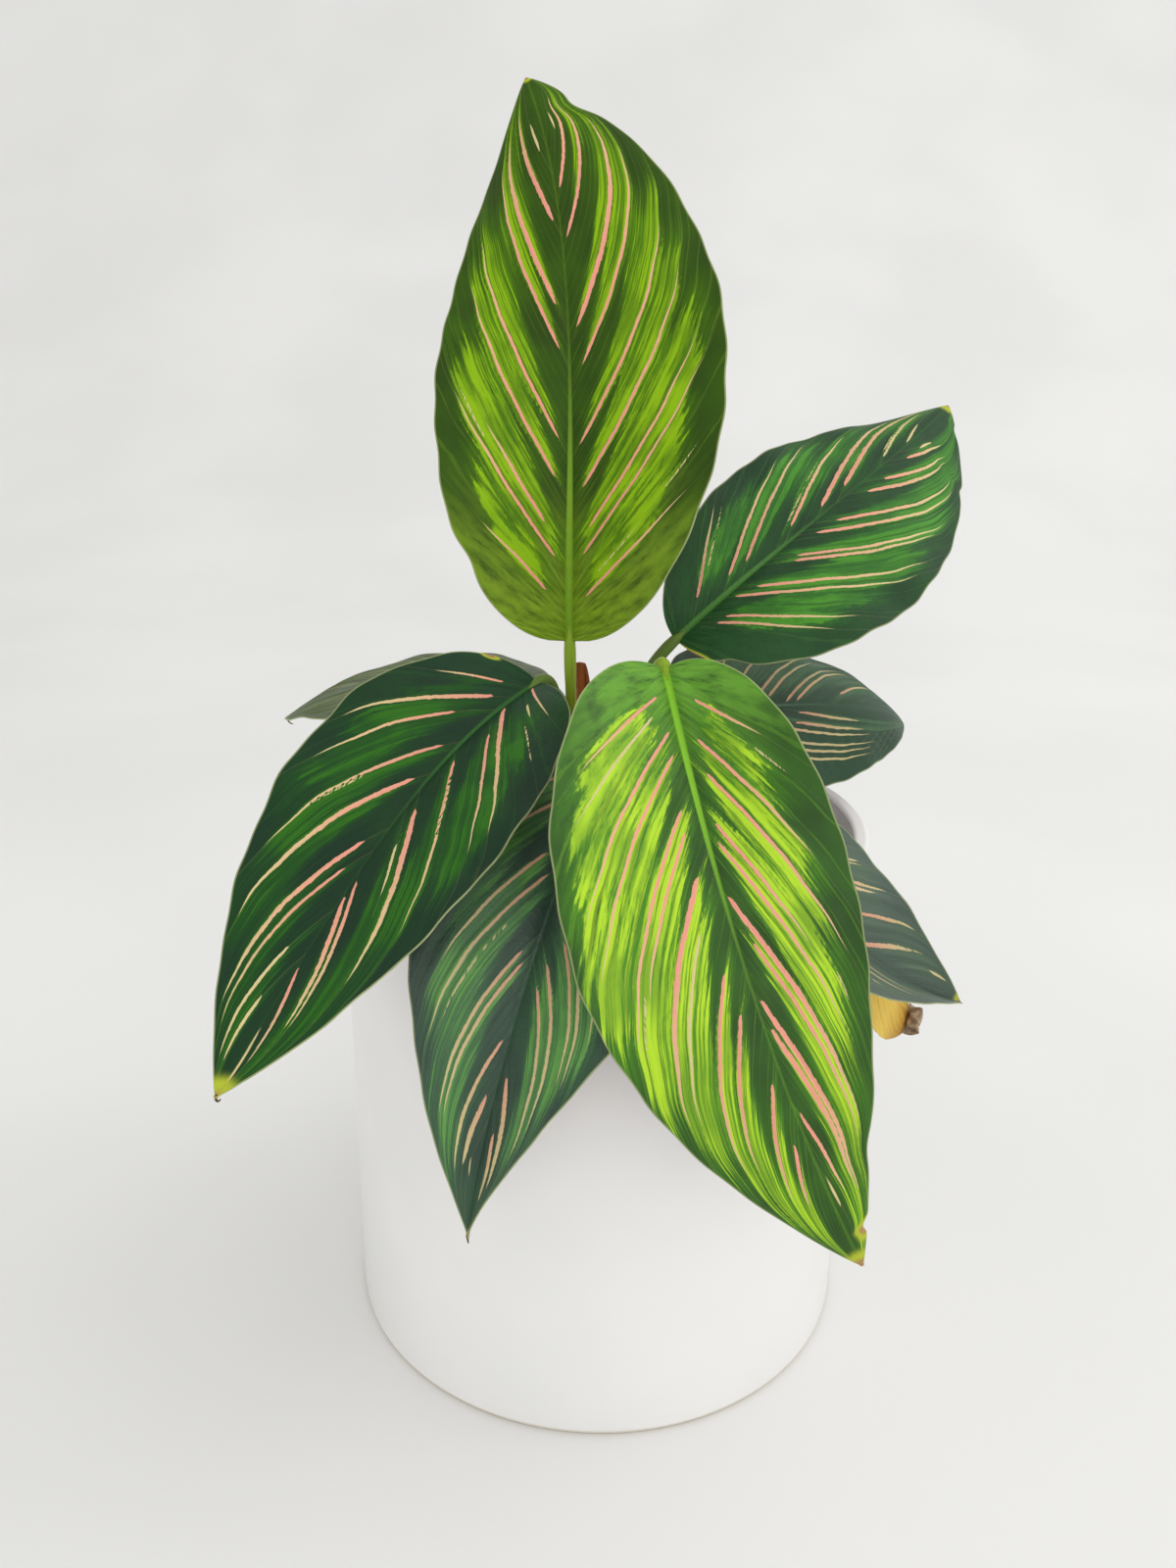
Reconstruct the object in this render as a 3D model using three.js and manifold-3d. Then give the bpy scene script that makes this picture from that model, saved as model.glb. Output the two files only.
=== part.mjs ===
// A beauty star calathea, a prayer plant, growing in a plain round white pot.
// Millimetres, +Z up. The origin is the centre of the pot's base, and the plant's front is towards -Y.
import * as THREE from 'three';
import { mergeVertices } from 'three/addons/utils/BufferGeometryUtils.js';
import Module from 'manifold-3d';

const wasm = await Module();
wasm.setup();

// Clearance between pieces that rest on each other
const GAP = 0.3;

// Pot
const POT_RADIUS = 80;
const POT_HEIGHT = 164;
const POT_WALL = 4.5;
const POT_FLOOR = 6;
const POT_RIM_ROUND = 1;
const POT_FOOT_BEVEL = 1.2;
const POT_SIDES = 48;

// Soil
const SOIL_TOP = 139;
const SOIL_MOUND = 3;
const SOIL_LUMP = 0.8;
const SOIL_LUMP_SPACINGS = [20, 23, 33, 48];
const SOIL_RINGS = 4;
const HOLE_DEPTH = 14;
const HOLE_CLEARANCE = 0.5;
const SHEATH_HOLE_RADIUS = 3.6;
const HOLE_SIDES = 12;

// Stems
const STEM_SIDES = 8;
const STEM_STEPS = 10;
const STEM_FOOT_RADIUS = 2.7;
const STEM_TOP_RADIUS = 1.6;
const SHEATH_LENGTH = 0.45;
const STEM_RISE = 0.45;
const STEM_CROWDING = 1.6;

// Leaf blades
const BLADE_THICKNESS = 0.8;
const BLADE_ROWS = 18;
const BLADE_BASE_HALF_WIDTH = 1.4;
const BLADE_TIP_HALF_WIDTH = 0.5;
const KEEL_HALF_WIDTH = 1.5;
const KEEL_BASE_DEPTH = 1.1;
const KEEL_TIP_DEPTH = 0.2;
const COLUMN_SHARES = [0.36, 0.7, 1];
const CURVE_STEPS = 60;
const SECTION_STEPS = 8;
const LEFT_WAVE_PHASE = 2;

// Each leaf: its base and the way its midrib sets out (azimuth, elevation, roll), then how the midrib
// bends over its length (droop towards the underside, swerve towards its right, twist about itself, in
// degrees, as base and tip rates). The half widths are left and right of the midrib, fold is how far the
// halves rise from it, curl how far they turn down towards the margin, and shape gives the outline.
// The stem starts at foot in the soil, and knee is the length over which it bends in to the base.
const LEAVES = [
  {
    name: 'top', base: [-11, -12, 221.6], length: 165,
    azimuth: 105, elevation: 84, roll: 24, droop: [30, 23], swerve: [7, -53], twist: -2,
    halfWidth: [38, 46.5], fold: [33, -11], curl: [-11, 20], shape: [0.45, 0.76],
    wave: 1.0, waves: 4, foot: [-9, -5], knee: 30, color: '#3f7a2c',
  },
  {
    name: 'right', base: [19, -14, 223], length: 119,
    azimuth: 9, elevation: 44, roll: -63, droop: [46, 37], swerve: [11, -34], twist: -11,
    halfWidth: [26, 37], fold: [23, -20], curl: [-3, 26], shape: [0.51, 0.68],
    wave: 0.8, waves: 4, foot: [3, -1], knee: 25, color: '#2c6433',
  },
  {
    name: 'left', base: [-19.5, -22, 212], length: 145,
    azimuth: -129, elevation: -12, roll: 19, droop: [44, -26], swerve: [-40, 1], twist: 10,
    halfWidth: [36, 32], fold: [23, 7], curl: [-3, 5], shape: [0.57, 0.93],
    wave: 0.8, waves: 5, foot: [-16, -10], knee: 14, color: '#285a34',
  },
  {
    name: 'front', base: [14.5, -50.5, 224], length: 157.5,
    azimuth: -79, elevation: -34, roll: -6, droop: [59, 36], swerve: [-16, -23], twist: 11,
    halfWidth: [31, 40.5], fold: [32, -12], curl: [-10, 21], shape: [0.5, 0.87],
    wave: 1.0, waves: 4, foot: [5, -12], knee: 10, color: '#4a8a30',
  },
  {
    name: 'front_left', base: [-2, -39, 199.5], length: 138.5,
    azimuth: -98, elevation: -23, roll: 18, droop: [86, 43], swerve: [19, -6], twist: 33,
    halfWidth: [37.5, 35.5], fold: [3, 30], curl: [12, -15], shape: [0.48, 1.14],
    wave: 0.6, waves: 4, foot: [-5, -16], knee: 10, color: '#245038',
  },
  {
    name: 'back_left', base: [-20, 5, 203.5], length: 113,
    azimuth: 154, elevation: 2, roll: 3, droop: [32, 39], swerve: [5, 5], twist: -12,
    halfWidth: [29, 29], fold: [0, 5], curl: [16, 6], shape: [0.5, 0.84],
    wave: 0.6, waves: 4, foot: [-14, 4], knee: 16, color: '#4c6142',
  },
  {
    name: 'back_right', base: [22, -17, 204], length: 120,
    azimuth: 29, elevation: -7, roll: -41, droop: [7, 75], swerve: [-20, 0], twist: 0,
    halfWidth: [31, 27.5], fold: [-8, -2], curl: [21, 13], shape: [0.38, 0.97],
    wave: 0.6, waves: 4, foot: [11, -3], knee: 14, color: '#2f5246',
  },
  {
    name: 'low_right', base: [17, -50, 204], length: 114,
    azimuth: -39, elevation: -40, roll: -9, droop: [38, -31], swerve: [-40, -72], twist: -22,
    halfWidth: [29, 32], fold: [2, 36], curl: [46, -25], shape: [0.51, 0.87],
    wave: 0.6, waves: 4, foot: [13, -14], knee: 10, color: '#37564c',
  },
  {
    name: 'withered', base: [66, -54, 162], length: 60,
    azimuth: 25, elevation: -62, roll: -58, droop: [8, 8], swerve: [-10, -30], twist: 0,
    halfWidth: [13, 16], fold: [15, 5], curl: [5, 30], shape: [0.5, 0.65],
    wave: 0.8, waves: 2, foot: [11, 7], knee: 14, color: '#c79a3a',
  },
];

const DEG = Math.PI / 180;

function toSolid(geometry) {
  const bare = geometry.clone();
  bare.deleteAttribute('normal');
  bare.deleteAttribute('uv');
  const merged = mergeVertices(bare, 1e-4);
  const corners = merged.index.array;
  const kept = [];
  for (let i = 0; i < corners.length; i += 3) {
    const [a, b, c] = [corners[i], corners[i + 1], corners[i + 2]];
    if (a !== b && b !== c && c !== a) kept.push(a, b, c);
  }
  return new wasm.Manifold(new wasm.Mesh({
    numProp: 3,
    vertProperties: new Float32Array(merged.attributes.position.array),
    triVerts: new Uint32Array(kept),
  }));
}

function toGeometry(solid) {
  const mesh = solid.getMesh();
  const geometry = new THREE.BufferGeometry();
  geometry.setAttribute('position', new THREE.BufferAttribute(new Float32Array(mesh.vertProperties), 3));
  geometry.setIndex(new THREE.BufferAttribute(new Uint32Array(mesh.triVerts), 1));
  geometry.computeVertexNormals();
  return geometry;
}

function piece(name, geometry, color, roughness) {
  const material = new THREE.MeshStandardMaterial({ color, roughness, metalness: 0 });
  const mesh = new THREE.Mesh(geometry, material);
  mesh.name = name;
  return mesh;
}

function mix(pair, s) {
  return pair[0] + (pair[1] - pair[0]) * s;
}

// A loft through rings of equal point count, closed at both ends by fans
function loft(rings) {
  const around = rings[0].length;
  const points = rings.flat();
  const faces = [];
  for (let i = 0; i < rings.length - 1; i++) {
    for (let j = 0; j < around; j++) {
      const next = (j + 1) % around;
      const [a, b] = [i * around + j, i * around + next];
      const [c, d] = [a + around, b + around];
      faces.push(a, b, d, a, d, c);
    }
  }
  const last = (rings.length - 1) * around;
  for (let j = 1; j < around - 1; j++) {
    faces.push(0, j + 1, j);
    faces.push(last, last + j, last + j + 1);
  }
  const geometry = new THREE.BufferGeometry().setFromPoints(points);
  geometry.setIndex(faces);
  geometry.computeVertexNormals();
  return geometry;
}

// The midrib's frame at equal steps: place, forward, right and upper-side directions
function midribFrames(leaf) {
  const azimuth = leaf.azimuth * DEG;
  const elevation = leaf.elevation * DEG;
  const roll = leaf.roll * DEG;
  let forward = new THREE.Vector3(
    Math.cos(elevation) * Math.cos(azimuth), Math.cos(elevation) * Math.sin(azimuth), Math.sin(elevation));
  let right = new THREE.Vector3(Math.sin(azimuth), -Math.cos(azimuth), 0);
  let up = new THREE.Vector3().crossVectors(right, forward);
  right = right.applyAxisAngle(forward, -roll);
  up = up.applyAxisAngle(forward, -roll);
  let place = new THREE.Vector3(...leaf.base);
  const frames = [{ place, forward, right, up }];
  const step = 1 / CURVE_STEPS;
  for (let i = 0; i < CURVE_STEPS; i++) {
    const s = (i + 0.5) * step;
    const turn = new THREE.Vector3()
      .addScaledVector(right, -mix(leaf.droop, s) * DEG * step)
      .addScaledVector(up, -mix(leaf.swerve, s) * DEG * step)
      .addScaledVector(forward, leaf.twist * DEG * step);
    const angle = turn.length();
    const axis = turn.normalize();
    const middle = forward.clone().applyAxisAngle(axis, angle / 2);
    place = place.clone().addScaledVector(middle, leaf.length * step);
    forward = forward.clone().applyAxisAngle(axis, angle);
    right = right.clone().applyAxisAngle(axis, angle);
    up = up.clone().applyAxisAngle(axis, angle);
    frames.push({ place, forward, right, up });
  }
  return frames;
}

function frameAt(frames, s) {
  const t = s * CURVE_STEPS;
  const i = Math.min(Math.floor(t), CURVE_STEPS - 1);
  const share = t - i;
  const blend = (key) => frames[i][key].clone().lerp(frames[i + 1][key], share);
  return {
    place: blend('place'), forward: blend('forward').normalize(),
    right: blend('right').normalize(), up: blend('up').normalize(),
  };
}

// The outline's half width as a share of the widest, with its ends kept as wide as a stem and a tip
function outline(leaf, s, halfWidth) {
  const [p, r] = leaf.shape;
  const widest = p / (p + r);
  const share = (s / widest) ** p * ((1 - s) / (1 - widest)) ** r;
  const least = mix([BLADE_BASE_HALF_WIDTH, BLADE_TIP_HALF_WIDTH], s);
  return Math.max(share * halfWidth, least);
}

// A point of the blade's middle surface and its normal, at s along and u across (-1 left to 1 right)
function bladePoint(leaf, frame, s, u) {
  const side = u < 0 ? -1 : 1;
  const halfWidth = outline(leaf, s, leaf.halfWidth[u < 0 ? 0 : 1]);
  const fold = mix(leaf.fold, s) * DEG;
  const curl = mix(leaf.curl, s) * DEG;
  const reach = Math.abs(u);
  let out = 0;
  let rise = 0;
  for (let k = 0; k < SECTION_STEPS; k++) {
    const angle = fold - curl * reach * (k + 0.5) / SECTION_STEPS;
    out += Math.cos(angle) * reach / SECTION_STEPS * halfWidth;
    rise += Math.sin(angle) * reach / SECTION_STEPS * halfWidth;
  }
  const swell = Math.sin(Math.PI * s) * reach * reach;
  rise += leaf.wave * swell * Math.sin(2 * Math.PI * leaf.waves * s + (side > 0 ? 0 : LEFT_WAVE_PHASE));
  const lean = fold - curl * reach;
  const normal = frame.up.clone().multiplyScalar(Math.cos(lean))
    .addScaledVector(frame.right, -side * Math.sin(lean)).normalize();
  const place = frame.place.clone()
    .addScaledVector(frame.right, side * out).addScaledVector(frame.up, rise);
  return { place, normal };
}

function bladeColumns(halfWidth) {
  const keel = Math.min(KEEL_HALF_WIDTH / halfWidth, 0.5);
  const shares = COLUMN_SHARES.map((share) => keel + (1 - keel) * share);
  const half = [keel, ...shares];
  return [...half.slice().reverse().map((u) => -u), 0, ...half];
}

function blade(leaf) {
  const frames = midribFrames(leaf);
  const rings = [];
  for (let i = 0; i <= BLADE_ROWS; i++) {
    const s = (1 - Math.cos(Math.PI * i / BLADE_ROWS)) / 2;
    const frame = frameAt(frames, s);
    const depth = mix([KEEL_BASE_DEPTH, KEEL_TIP_DEPTH], s);
    const widest = Math.max(...leaf.halfWidth.map((w) => outline(leaf, s, w)));
    const top = [];
    const bottom = [];
    for (const u of bladeColumns(widest)) {
      const { place, normal } = bladePoint(leaf, frame, s, u);
      top.push(place.clone().addScaledVector(normal, BLADE_THICKNESS / 2));
      const below = BLADE_THICKNESS / 2 + (u === 0 ? depth : 0);
      bottom.push(place.clone().addScaledVector(normal, -below));
    }
    rings.push([...top, ...bottom.reverse()]);
  }
  return sheet(rings);
}

// A closed sheet from rows of upper points then lower points, with both faces split alike
function sheet(rings) {
  const around = rings[0].length;
  const across = around / 2;
  const points = rings.flat();
  const faces = [];
  const quad = (a, b, c, d) => faces.push(a, b, c, a, c, d);
  const at = (i, j) => i * around + j;
  const under = (i, j) => i * around + around - 1 - j;
  for (let i = 0; i < rings.length - 1; i++) {
    for (let j = 0; j < across - 1; j++) {
      quad(at(i, j), at(i, j + 1), at(i + 1, j + 1), at(i + 1, j));
      faces.push(under(i, j), under(i + 1, j + 1), under(i, j + 1));
      faces.push(under(i, j), under(i + 1, j), under(i + 1, j + 1));
    }
    const edge = across - 1;
    quad(under(i, 0), at(i, 0), at(i + 1, 0), under(i + 1, 0));
    quad(at(i, edge), under(i, edge), under(i + 1, edge), at(i + 1, edge));
  }
  const last = rings.length - 1;
  for (let j = 0; j < across - 1; j++) {
    quad(at(0, j), under(0, j), under(0, j + 1), at(0, j + 1));
    quad(at(last, j), at(last, j + 1), under(last, j + 1), under(last, j));
  }
  const geometry = new THREE.BufferGeometry().setFromPoints(points);
  geometry.setIndex(faces);
  geometry.computeVertexNormals();
  return geometry;
}

// The stem's middle line: straight up out of its hole, then one bend that ends along the midrib
function stemCurve(leaf) {
  const [x, y] = leaf.foot;
  const forward = midribFrames(leaf)[0].forward;
  const end = new THREE.Vector3(...leaf.base).addScaledVector(forward, -GAP);
  const bottom = new THREE.Vector3(x, y, SOIL_TOP - HOLE_DEPTH + GAP);
  const surface = new THREE.Vector3(x, y, SOIL_TOP + SOIL_MOUND + 2);
  const rise = new THREE.Vector3(0, 0, surface.distanceTo(end) * STEM_RISE);
  const bend = new THREE.CubicBezierCurve3(
    surface, surface.clone().add(rise), end.clone().addScaledVector(forward, -leaf.knee), end);
  return { bottom, bend };
}

// One ring of a stem's points, square to the way it runs
function stemRing(place, forward, radius) {
  const across = new THREE.Vector3(1, 0, 0).addScaledVector(forward, -forward.x).normalize();
  const along = new THREE.Vector3().crossVectors(forward, across);
  const points = [];
  for (let k = 0; k < STEM_SIDES; k++) {
    const angle = 2 * Math.PI * k / STEM_SIDES;
    points.push(place.clone()
      .addScaledVector(across, radius * Math.cos(angle))
      .addScaledVector(along, radius * Math.sin(angle)));
  }
  return points;
}

// A stem: a thick sheathing foot that narrows, then an even round stalk
function stem(leaf) {
  const { bottom, bend } = stemCurve(leaf);
  const rings = [stemRing(bottom, new THREE.Vector3(0, 0, 1), STEM_FOOT_RADIUS)];
  for (let i = 0; i <= STEM_STEPS; i++) {
    const t = 1 - (1 - i / STEM_STEPS) ** STEM_CROWDING;
    const share = Math.min(t / SHEATH_LENGTH, 1);
    const radius = mix([STEM_FOOT_RADIUS, STEM_TOP_RADIUS], share);
    rings.push(stemRing(bend.getPoint(t), bend.getTangent(t), radius));
  }
  return loft(rings);
}

// The dried sheath of an old leaf, a torn strip that stands behind the upright stem
const DRY_SHEATH = {
  base: [-3.4, 4.6, SOIL_TOP - HOLE_DEPTH + 2 * GAP], length: 90,
  azimuth: -110, elevation: 82, roll: 0, droop: [6, -6], swerve: [0, 0], twist: 10,
  halfWidth: [4.4, 4.6], fold: [38, 35], curl: [-40, -30], shape: [0.35, 0.25],
  wave: 0.4, waves: 3, foot: [-3.8, 3.8],
};

function pot() {
  const inner = POT_RADIUS - POT_WALL;
  const profile = new THREE.Path();
  profile.moveTo(0, 0);
  profile.lineTo(POT_RADIUS - POT_FOOT_BEVEL, 0);
  profile.lineTo(POT_RADIUS, POT_FOOT_BEVEL);
  profile.lineTo(POT_RADIUS, POT_HEIGHT - POT_RIM_ROUND);
  profile.lineTo(POT_RADIUS - POT_RIM_ROUND, POT_HEIGHT);
  profile.lineTo(inner + POT_RIM_ROUND, POT_HEIGHT);
  profile.lineTo(inner, POT_HEIGHT - POT_RIM_ROUND);
  profile.lineTo(inner, POT_FLOOR);
  profile.lineTo(0, POT_FLOOR);
  const geometry = new THREE.LatheGeometry(profile.getPoints(), POT_SIDES);
  geometry.rotateX(Math.PI / 2);
  return toGeometry(toSolid(geometry));
}

// The lumpy surface's height over its level rim
function soilHeight(x, y, radius) {
  const share = Math.hypot(x, y) / radius;
  const inland = 1 - share * share;
  const turn = (length, spacing) => 2 * Math.PI * length / spacing;
  const [a, b, c, d] = SOIL_LUMP_SPACINGS;
  const lumps = Math.sin(turn(x, a)) * Math.cos(turn(y, b)) + Math.sin(turn(x, d) - turn(y, c));
  return inland * (SOIL_MOUND + lumps * SOIL_LUMP);
}

function soil() {
  const radius = POT_RADIUS - POT_WALL - GAP;
  const profile = [new THREE.Vector2(0, POT_FLOOR + GAP), new THREE.Vector2(radius, POT_FLOOR + GAP)];
  for (let i = SOIL_RINGS; i >= 0; i--) {
    profile.push(new THREE.Vector2(radius * i / SOIL_RINGS, SOIL_TOP));
  }
  const geometry = new THREE.LatheGeometry(profile, POT_SIDES);
  geometry.rotateX(Math.PI / 2);
  const places = geometry.attributes.position;
  for (let i = 0; i < places.count; i++) {
    const [x, y, z] = [places.getX(i), places.getY(i), places.getZ(i)];
    if (z === Math.fround(SOIL_TOP)) places.setZ(i, z + soilHeight(x, y, radius));
  }
  let solid = toSolid(geometry);
  for (const { foot } of LEAVES) {
    solid = solid.subtract(hole(foot, STEM_FOOT_RADIUS + HOLE_CLEARANCE));
  }
  solid = solid.subtract(hole(DRY_SHEATH.foot, SHEATH_HOLE_RADIUS));
  return toGeometry(solid);
}

// A plain round hole, from HOLE_DEPTH under the soil's edge to well clear of the mound
function hole([x, y], radius) {
  const height = HOLE_DEPTH * 2;
  const geometry = new THREE.CylinderGeometry(radius, radius, height, HOLE_SIDES);
  geometry.rotateX(Math.PI / 2);
  geometry.translate(x, y, SOIL_TOP);
  return toSolid(geometry);
}

const plant = new THREE.Group();
plant.add(piece('pot', pot(), '#f1f0ee', 0.35));
plant.add(piece('soil', soil(), '#3a2a1f', 0.95));
for (const leaf of LEAVES) {
  plant.add(piece(`stem_${leaf.name}`, stem(leaf), '#7f9138', 0.5));
  plant.add(piece(`blade_${leaf.name}`, blade(leaf), leaf.color, 0.4));
}

plant.add(piece('sheath_dry', blade(DRY_SHEATH), '#7a4a26', 0.8));

export default plant;
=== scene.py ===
import math

import bpy
import numpy as np
from mathutils import Matrix, Vector


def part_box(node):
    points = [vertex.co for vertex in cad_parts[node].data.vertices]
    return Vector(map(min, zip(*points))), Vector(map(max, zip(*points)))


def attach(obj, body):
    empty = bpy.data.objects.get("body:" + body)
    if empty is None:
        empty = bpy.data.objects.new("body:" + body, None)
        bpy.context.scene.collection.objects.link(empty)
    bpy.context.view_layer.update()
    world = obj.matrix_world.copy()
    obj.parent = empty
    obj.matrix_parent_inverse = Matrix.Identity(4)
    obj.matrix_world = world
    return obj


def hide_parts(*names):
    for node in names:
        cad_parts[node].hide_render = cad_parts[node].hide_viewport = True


# Lengths are millimetres in the plant's frame: +Z up, the front towards -Y. The camera and the lights
# are placed in metres.
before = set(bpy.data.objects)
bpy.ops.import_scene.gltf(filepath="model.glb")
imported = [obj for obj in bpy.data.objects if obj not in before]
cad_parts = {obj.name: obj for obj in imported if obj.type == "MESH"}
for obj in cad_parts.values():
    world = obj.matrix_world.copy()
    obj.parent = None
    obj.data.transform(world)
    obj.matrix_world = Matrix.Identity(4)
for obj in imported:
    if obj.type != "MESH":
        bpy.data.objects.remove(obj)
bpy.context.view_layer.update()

MM = 0.001
DEG = math.pi / 180
TURN = 2 * math.pi
SEED = 7

# Sizes that the frame gives
pot_high = np.array(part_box("pot")[1]) / MM
soil_high = np.array(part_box("soil")[1]) / MM
POT_RADIUS = pot_high[0]
POT_HEIGHT = pot_high[2]
SOIL_RADIUS = soil_high[0]

# Pot
POT_WALL = 4.5
POT_FLOOR = 6
POT_FLOOR_CORNER = 3
POT_RIM_ROUND = 1.4
POT_FOOT_ROUND = 1.6
POT_TURNS = 160

# Soil: a low mound with lumps, then small random bumps that end before the pot's wall
SOIL_TOP = 139
SOIL_MOUND = 3
SOIL_LUMP = 0.8
SOIL_LUMP_SPACINGS = (20, 23, 33, 48)
SOIL_BUMP = 0.5
SOIL_BUMP_END = 6
SOIL_RINGS = 56
SOIL_TURNS = 144
HOLE_DEPTH = 14

# Loose crumbs: how many, how far out they lie as a share of the soil's radius, and between which values
# their size lies, and their width, height and length as shares of it
CRUMBS = 900
CRUMB_REACH = 0.96
CRUMB_SIZES = (0.5, 1.9)
CRUMB_WIDTHS = (0.5, 1)
CRUMB_HEIGHTS = (0.4, 0.8)
CRUMB_LENGTHS = (1, 1.8)
CRUMB_LIFT = 0.2

# Gap between pieces that are seated on each other
GAP = 0.3

# Stems: the height above the soil's mound from which they bend, how long the tapering sheath is and how
# steeply they rise, as shares of their length, and the joint that narrows into the blade's keel
STEM_SIDES = 20
STEM_STEPS = 70
STEM_FOOT_RADIUS = 2.7
STEM_TOP_RADIUS = 1.6
STEM_RIDGE = 0.03
STEM_CLEAR = 2
SHEATH_SHARE = 0.45
STEM_RISE = 0.45
JOINT_LENGTH = 4
JOINT_STEPS = 6
JOINT_SHARE = 0.03
JOINT_END = 0.35

# How much thicker a stem is just below its joint
SWELL = 0.08

# Leaf blades
CURVE_STEPS = 360
SECTION_STEPS = 8
LEAF_ROWS = 168
WITHERED_ROWS = 60
SHEATH_ROWS = 80
HALF_COLUMNS = 38
ROW_EVENNESS = 0.62
COLUMN_EVENNESS = 0.7
LEFT_WAVE_PHASE = 2
BASE_HALF_WIDTH = 1.4
TIP_HALF_WIDTH = 0.45
MARGIN_WAVE = 0.012
MID_THICKNESS = 0.55
MARGIN_THICKNESS = 0.26
KEEL_DEPTH = (1.0, 0.15)
KEEL_WIDTH = (1.5, 0.6)
GROOVE_DEPTH = (0.45, 0.1)
GROOVE_WIDTH = (1.7, 0.7)
PLEAT_SPACING = 7.5
MARGIN_SLOT = 2
HOOK_SLOT = 3

# Dry thread-like tips: length and bend in degrees
HOOKS = {"left": (3.0, 170), "back_left": (4.2, 150), "front_left": (3, 25), "low_right": (2, 20)}
HOOK_STEPS = 8
HOOK_SIDES = 8
HOOK_RADII = (0.42, 0.14)
HOOK_OVERLAP = 0.8

# The curled papery tip of the withered leaf
CURL_TURNS = 1.15
CURL_RADII = (2.4, 1.5)
CURL_WIDTHS = (9.5, 4.5)
CURL_OVERLAP = 4.5
CURL_SHEET = 0.25
CURL_ROWS = 40
CURL_COLUMNS = 9
CURL_RAGGED = 0.35

# The photo's camera: place in metres, turns in degrees, lens and sensor in millimetres
CAMERA_PLACE = (0.0, -0.3672, 0.3056)
CAMERA_YAW = 0.84
CAMERA_PITCH = 19.7
CAMERA_ROLL = 0.85
LENS = 29.25
SENSOR = 36
NEAREST_SEEN = 0.01

# Studio: pale paper that lies in front, bends up behind the pot and stands as a backdrop
PAPER_HALF_WIDTH = 4000
PAPER_FRONT = -2500
PAPER_BACK = 900
PAPER_BEND = 1600
PAPER_HEIGHT = 3000
PAPER_STEPS = 16
WORLD_COLOUR = (1.0, 0.995, 0.98, 1)
WORLD_STRENGTH = 0.8

# Area lights: place, the point that it faces, size and power, in metres and watts
LIGHTS = {
    "key": ((1.1, -0.3, 1.6), (0, 0, 0.15), 2.4, 8),
    "fill": ((0.1, -1.5, 0.9), (0, 0, 0.12), 1.2, 4),
    "backdrop": ((1.4, 0.2, 1.5), (0.5, 2.4, 0.6), 1.5, 6),
}

# Each leaf: its base and the way its midrib sets out (azimuth, elevation, roll), how the midrib bends
# over its length (droop, swerve, twist), then the blade's half widths left and right, its fold and
# curl, its outline, its waved margin, and its stem's foot and the length of the bend below the blade.
LEAVES = {
    "top": dict(
        base=(-11, -12, 221.6), length=165, azimuth=105, elevation=84, roll=24, droop=(30, 23),
        swerve=(7, -53), twist=-2, half_width=(38, 46.5), fold=(33, -11), curl=(-11, 20),
        shape=(0.45, 0.76), wave=1.0, waves=4, foot=(-9, -5), knee=30,
        nicks=[(0.93, 1, 0.025, 0.22), (0.14, 0, 0.03, 0.05)]),
    "right": dict(
        base=(19, -14, 223), length=119, azimuth=9, elevation=44, roll=-63, droop=(46, 37),
        swerve=(11, -34), twist=-11, half_width=(26, 37), fold=(23, -20), curl=(-3, 26),
        shape=(0.51, 0.68), wave=0.8, waves=4, foot=(3, -1), knee=25,
        nicks=[(0.965, 1, 0.012, 0.2), (0.83, 1, 0.015, 0.04), (0.06, 1, 0.02, 0.1)]),
    "left": dict(
        base=(-19.5, -22, 212), length=145, azimuth=-129, elevation=-12, roll=19, droop=(44, -26),
        swerve=(-40, 1), twist=10, half_width=(36, 32), fold=(23, 7), curl=(-3, 5),
        shape=(0.57, 0.93), wave=0.8, waves=5, foot=(-16, -10), knee=14),
    "front": dict(
        base=(14.5, -50.5, 224), length=157.5, azimuth=-79, elevation=-34, roll=-6, droop=(59, 36),
        swerve=(-16, -23), twist=11, half_width=(31, 40.5), fold=(32, -12), curl=(-10, 21),
        shape=(0.5, 0.87), wave=1.0, waves=4, foot=(5, -12), knee=10,
        nicks=[(0.945, 0, 0.008, 0.25), (0.84, 0, 0.03, 0.08)]),
    "front_left": dict(
        base=(-2, -39, 199.5), length=138.5, azimuth=-98, elevation=-23, roll=18, droop=(86, 43),
        swerve=(19, -6), twist=33, half_width=(37.5, 35.5), fold=(3, 30), curl=(12, -15),
        shape=(0.48, 1.14), wave=0.6, waves=4, foot=(-5, -16), knee=10),
    "back_left": dict(
        base=(-20, 5, 203.5), length=113, azimuth=154, elevation=2, roll=3, droop=(32, 39),
        swerve=(5, 5), twist=-12, half_width=(29, 29), fold=(0, 5), curl=(16, 6),
        shape=(0.5, 0.84), wave=0.6, waves=4, foot=(-14, 4), knee=16),
    "back_right": dict(
        base=(22, -17, 204), length=120, azimuth=29, elevation=-7, roll=-41, droop=(7, 75),
        swerve=(-20, 0), twist=0, half_width=(31, 27.5), fold=(-8, -2), curl=(21, 13),
        shape=(0.38, 0.97), wave=0.6, waves=4, foot=(11, -3), knee=14),
    "low_right": dict(
        base=(17, -50, 204), length=114, azimuth=-39, elevation=-40, roll=-9, droop=(38, -31),
        swerve=(-40, -72), twist=-22, half_width=(29, 32), fold=(2, 36), curl=(46, -25),
        shape=(0.51, 0.87), wave=0.6, waves=4, foot=(13, -14), knee=10),
    "withered": dict(
        base=(66, -54, 162), length=60, azimuth=25, elevation=-62, roll=-58, droop=(8, 8),
        swerve=(-10, -30), twist=0, half_width=(13, 16), fold=(15, 5), curl=(5, 30),
        shape=(0.5, 0.65), wave=0.8, waves=2, foot=(11, 7), knee=14),
}
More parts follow.
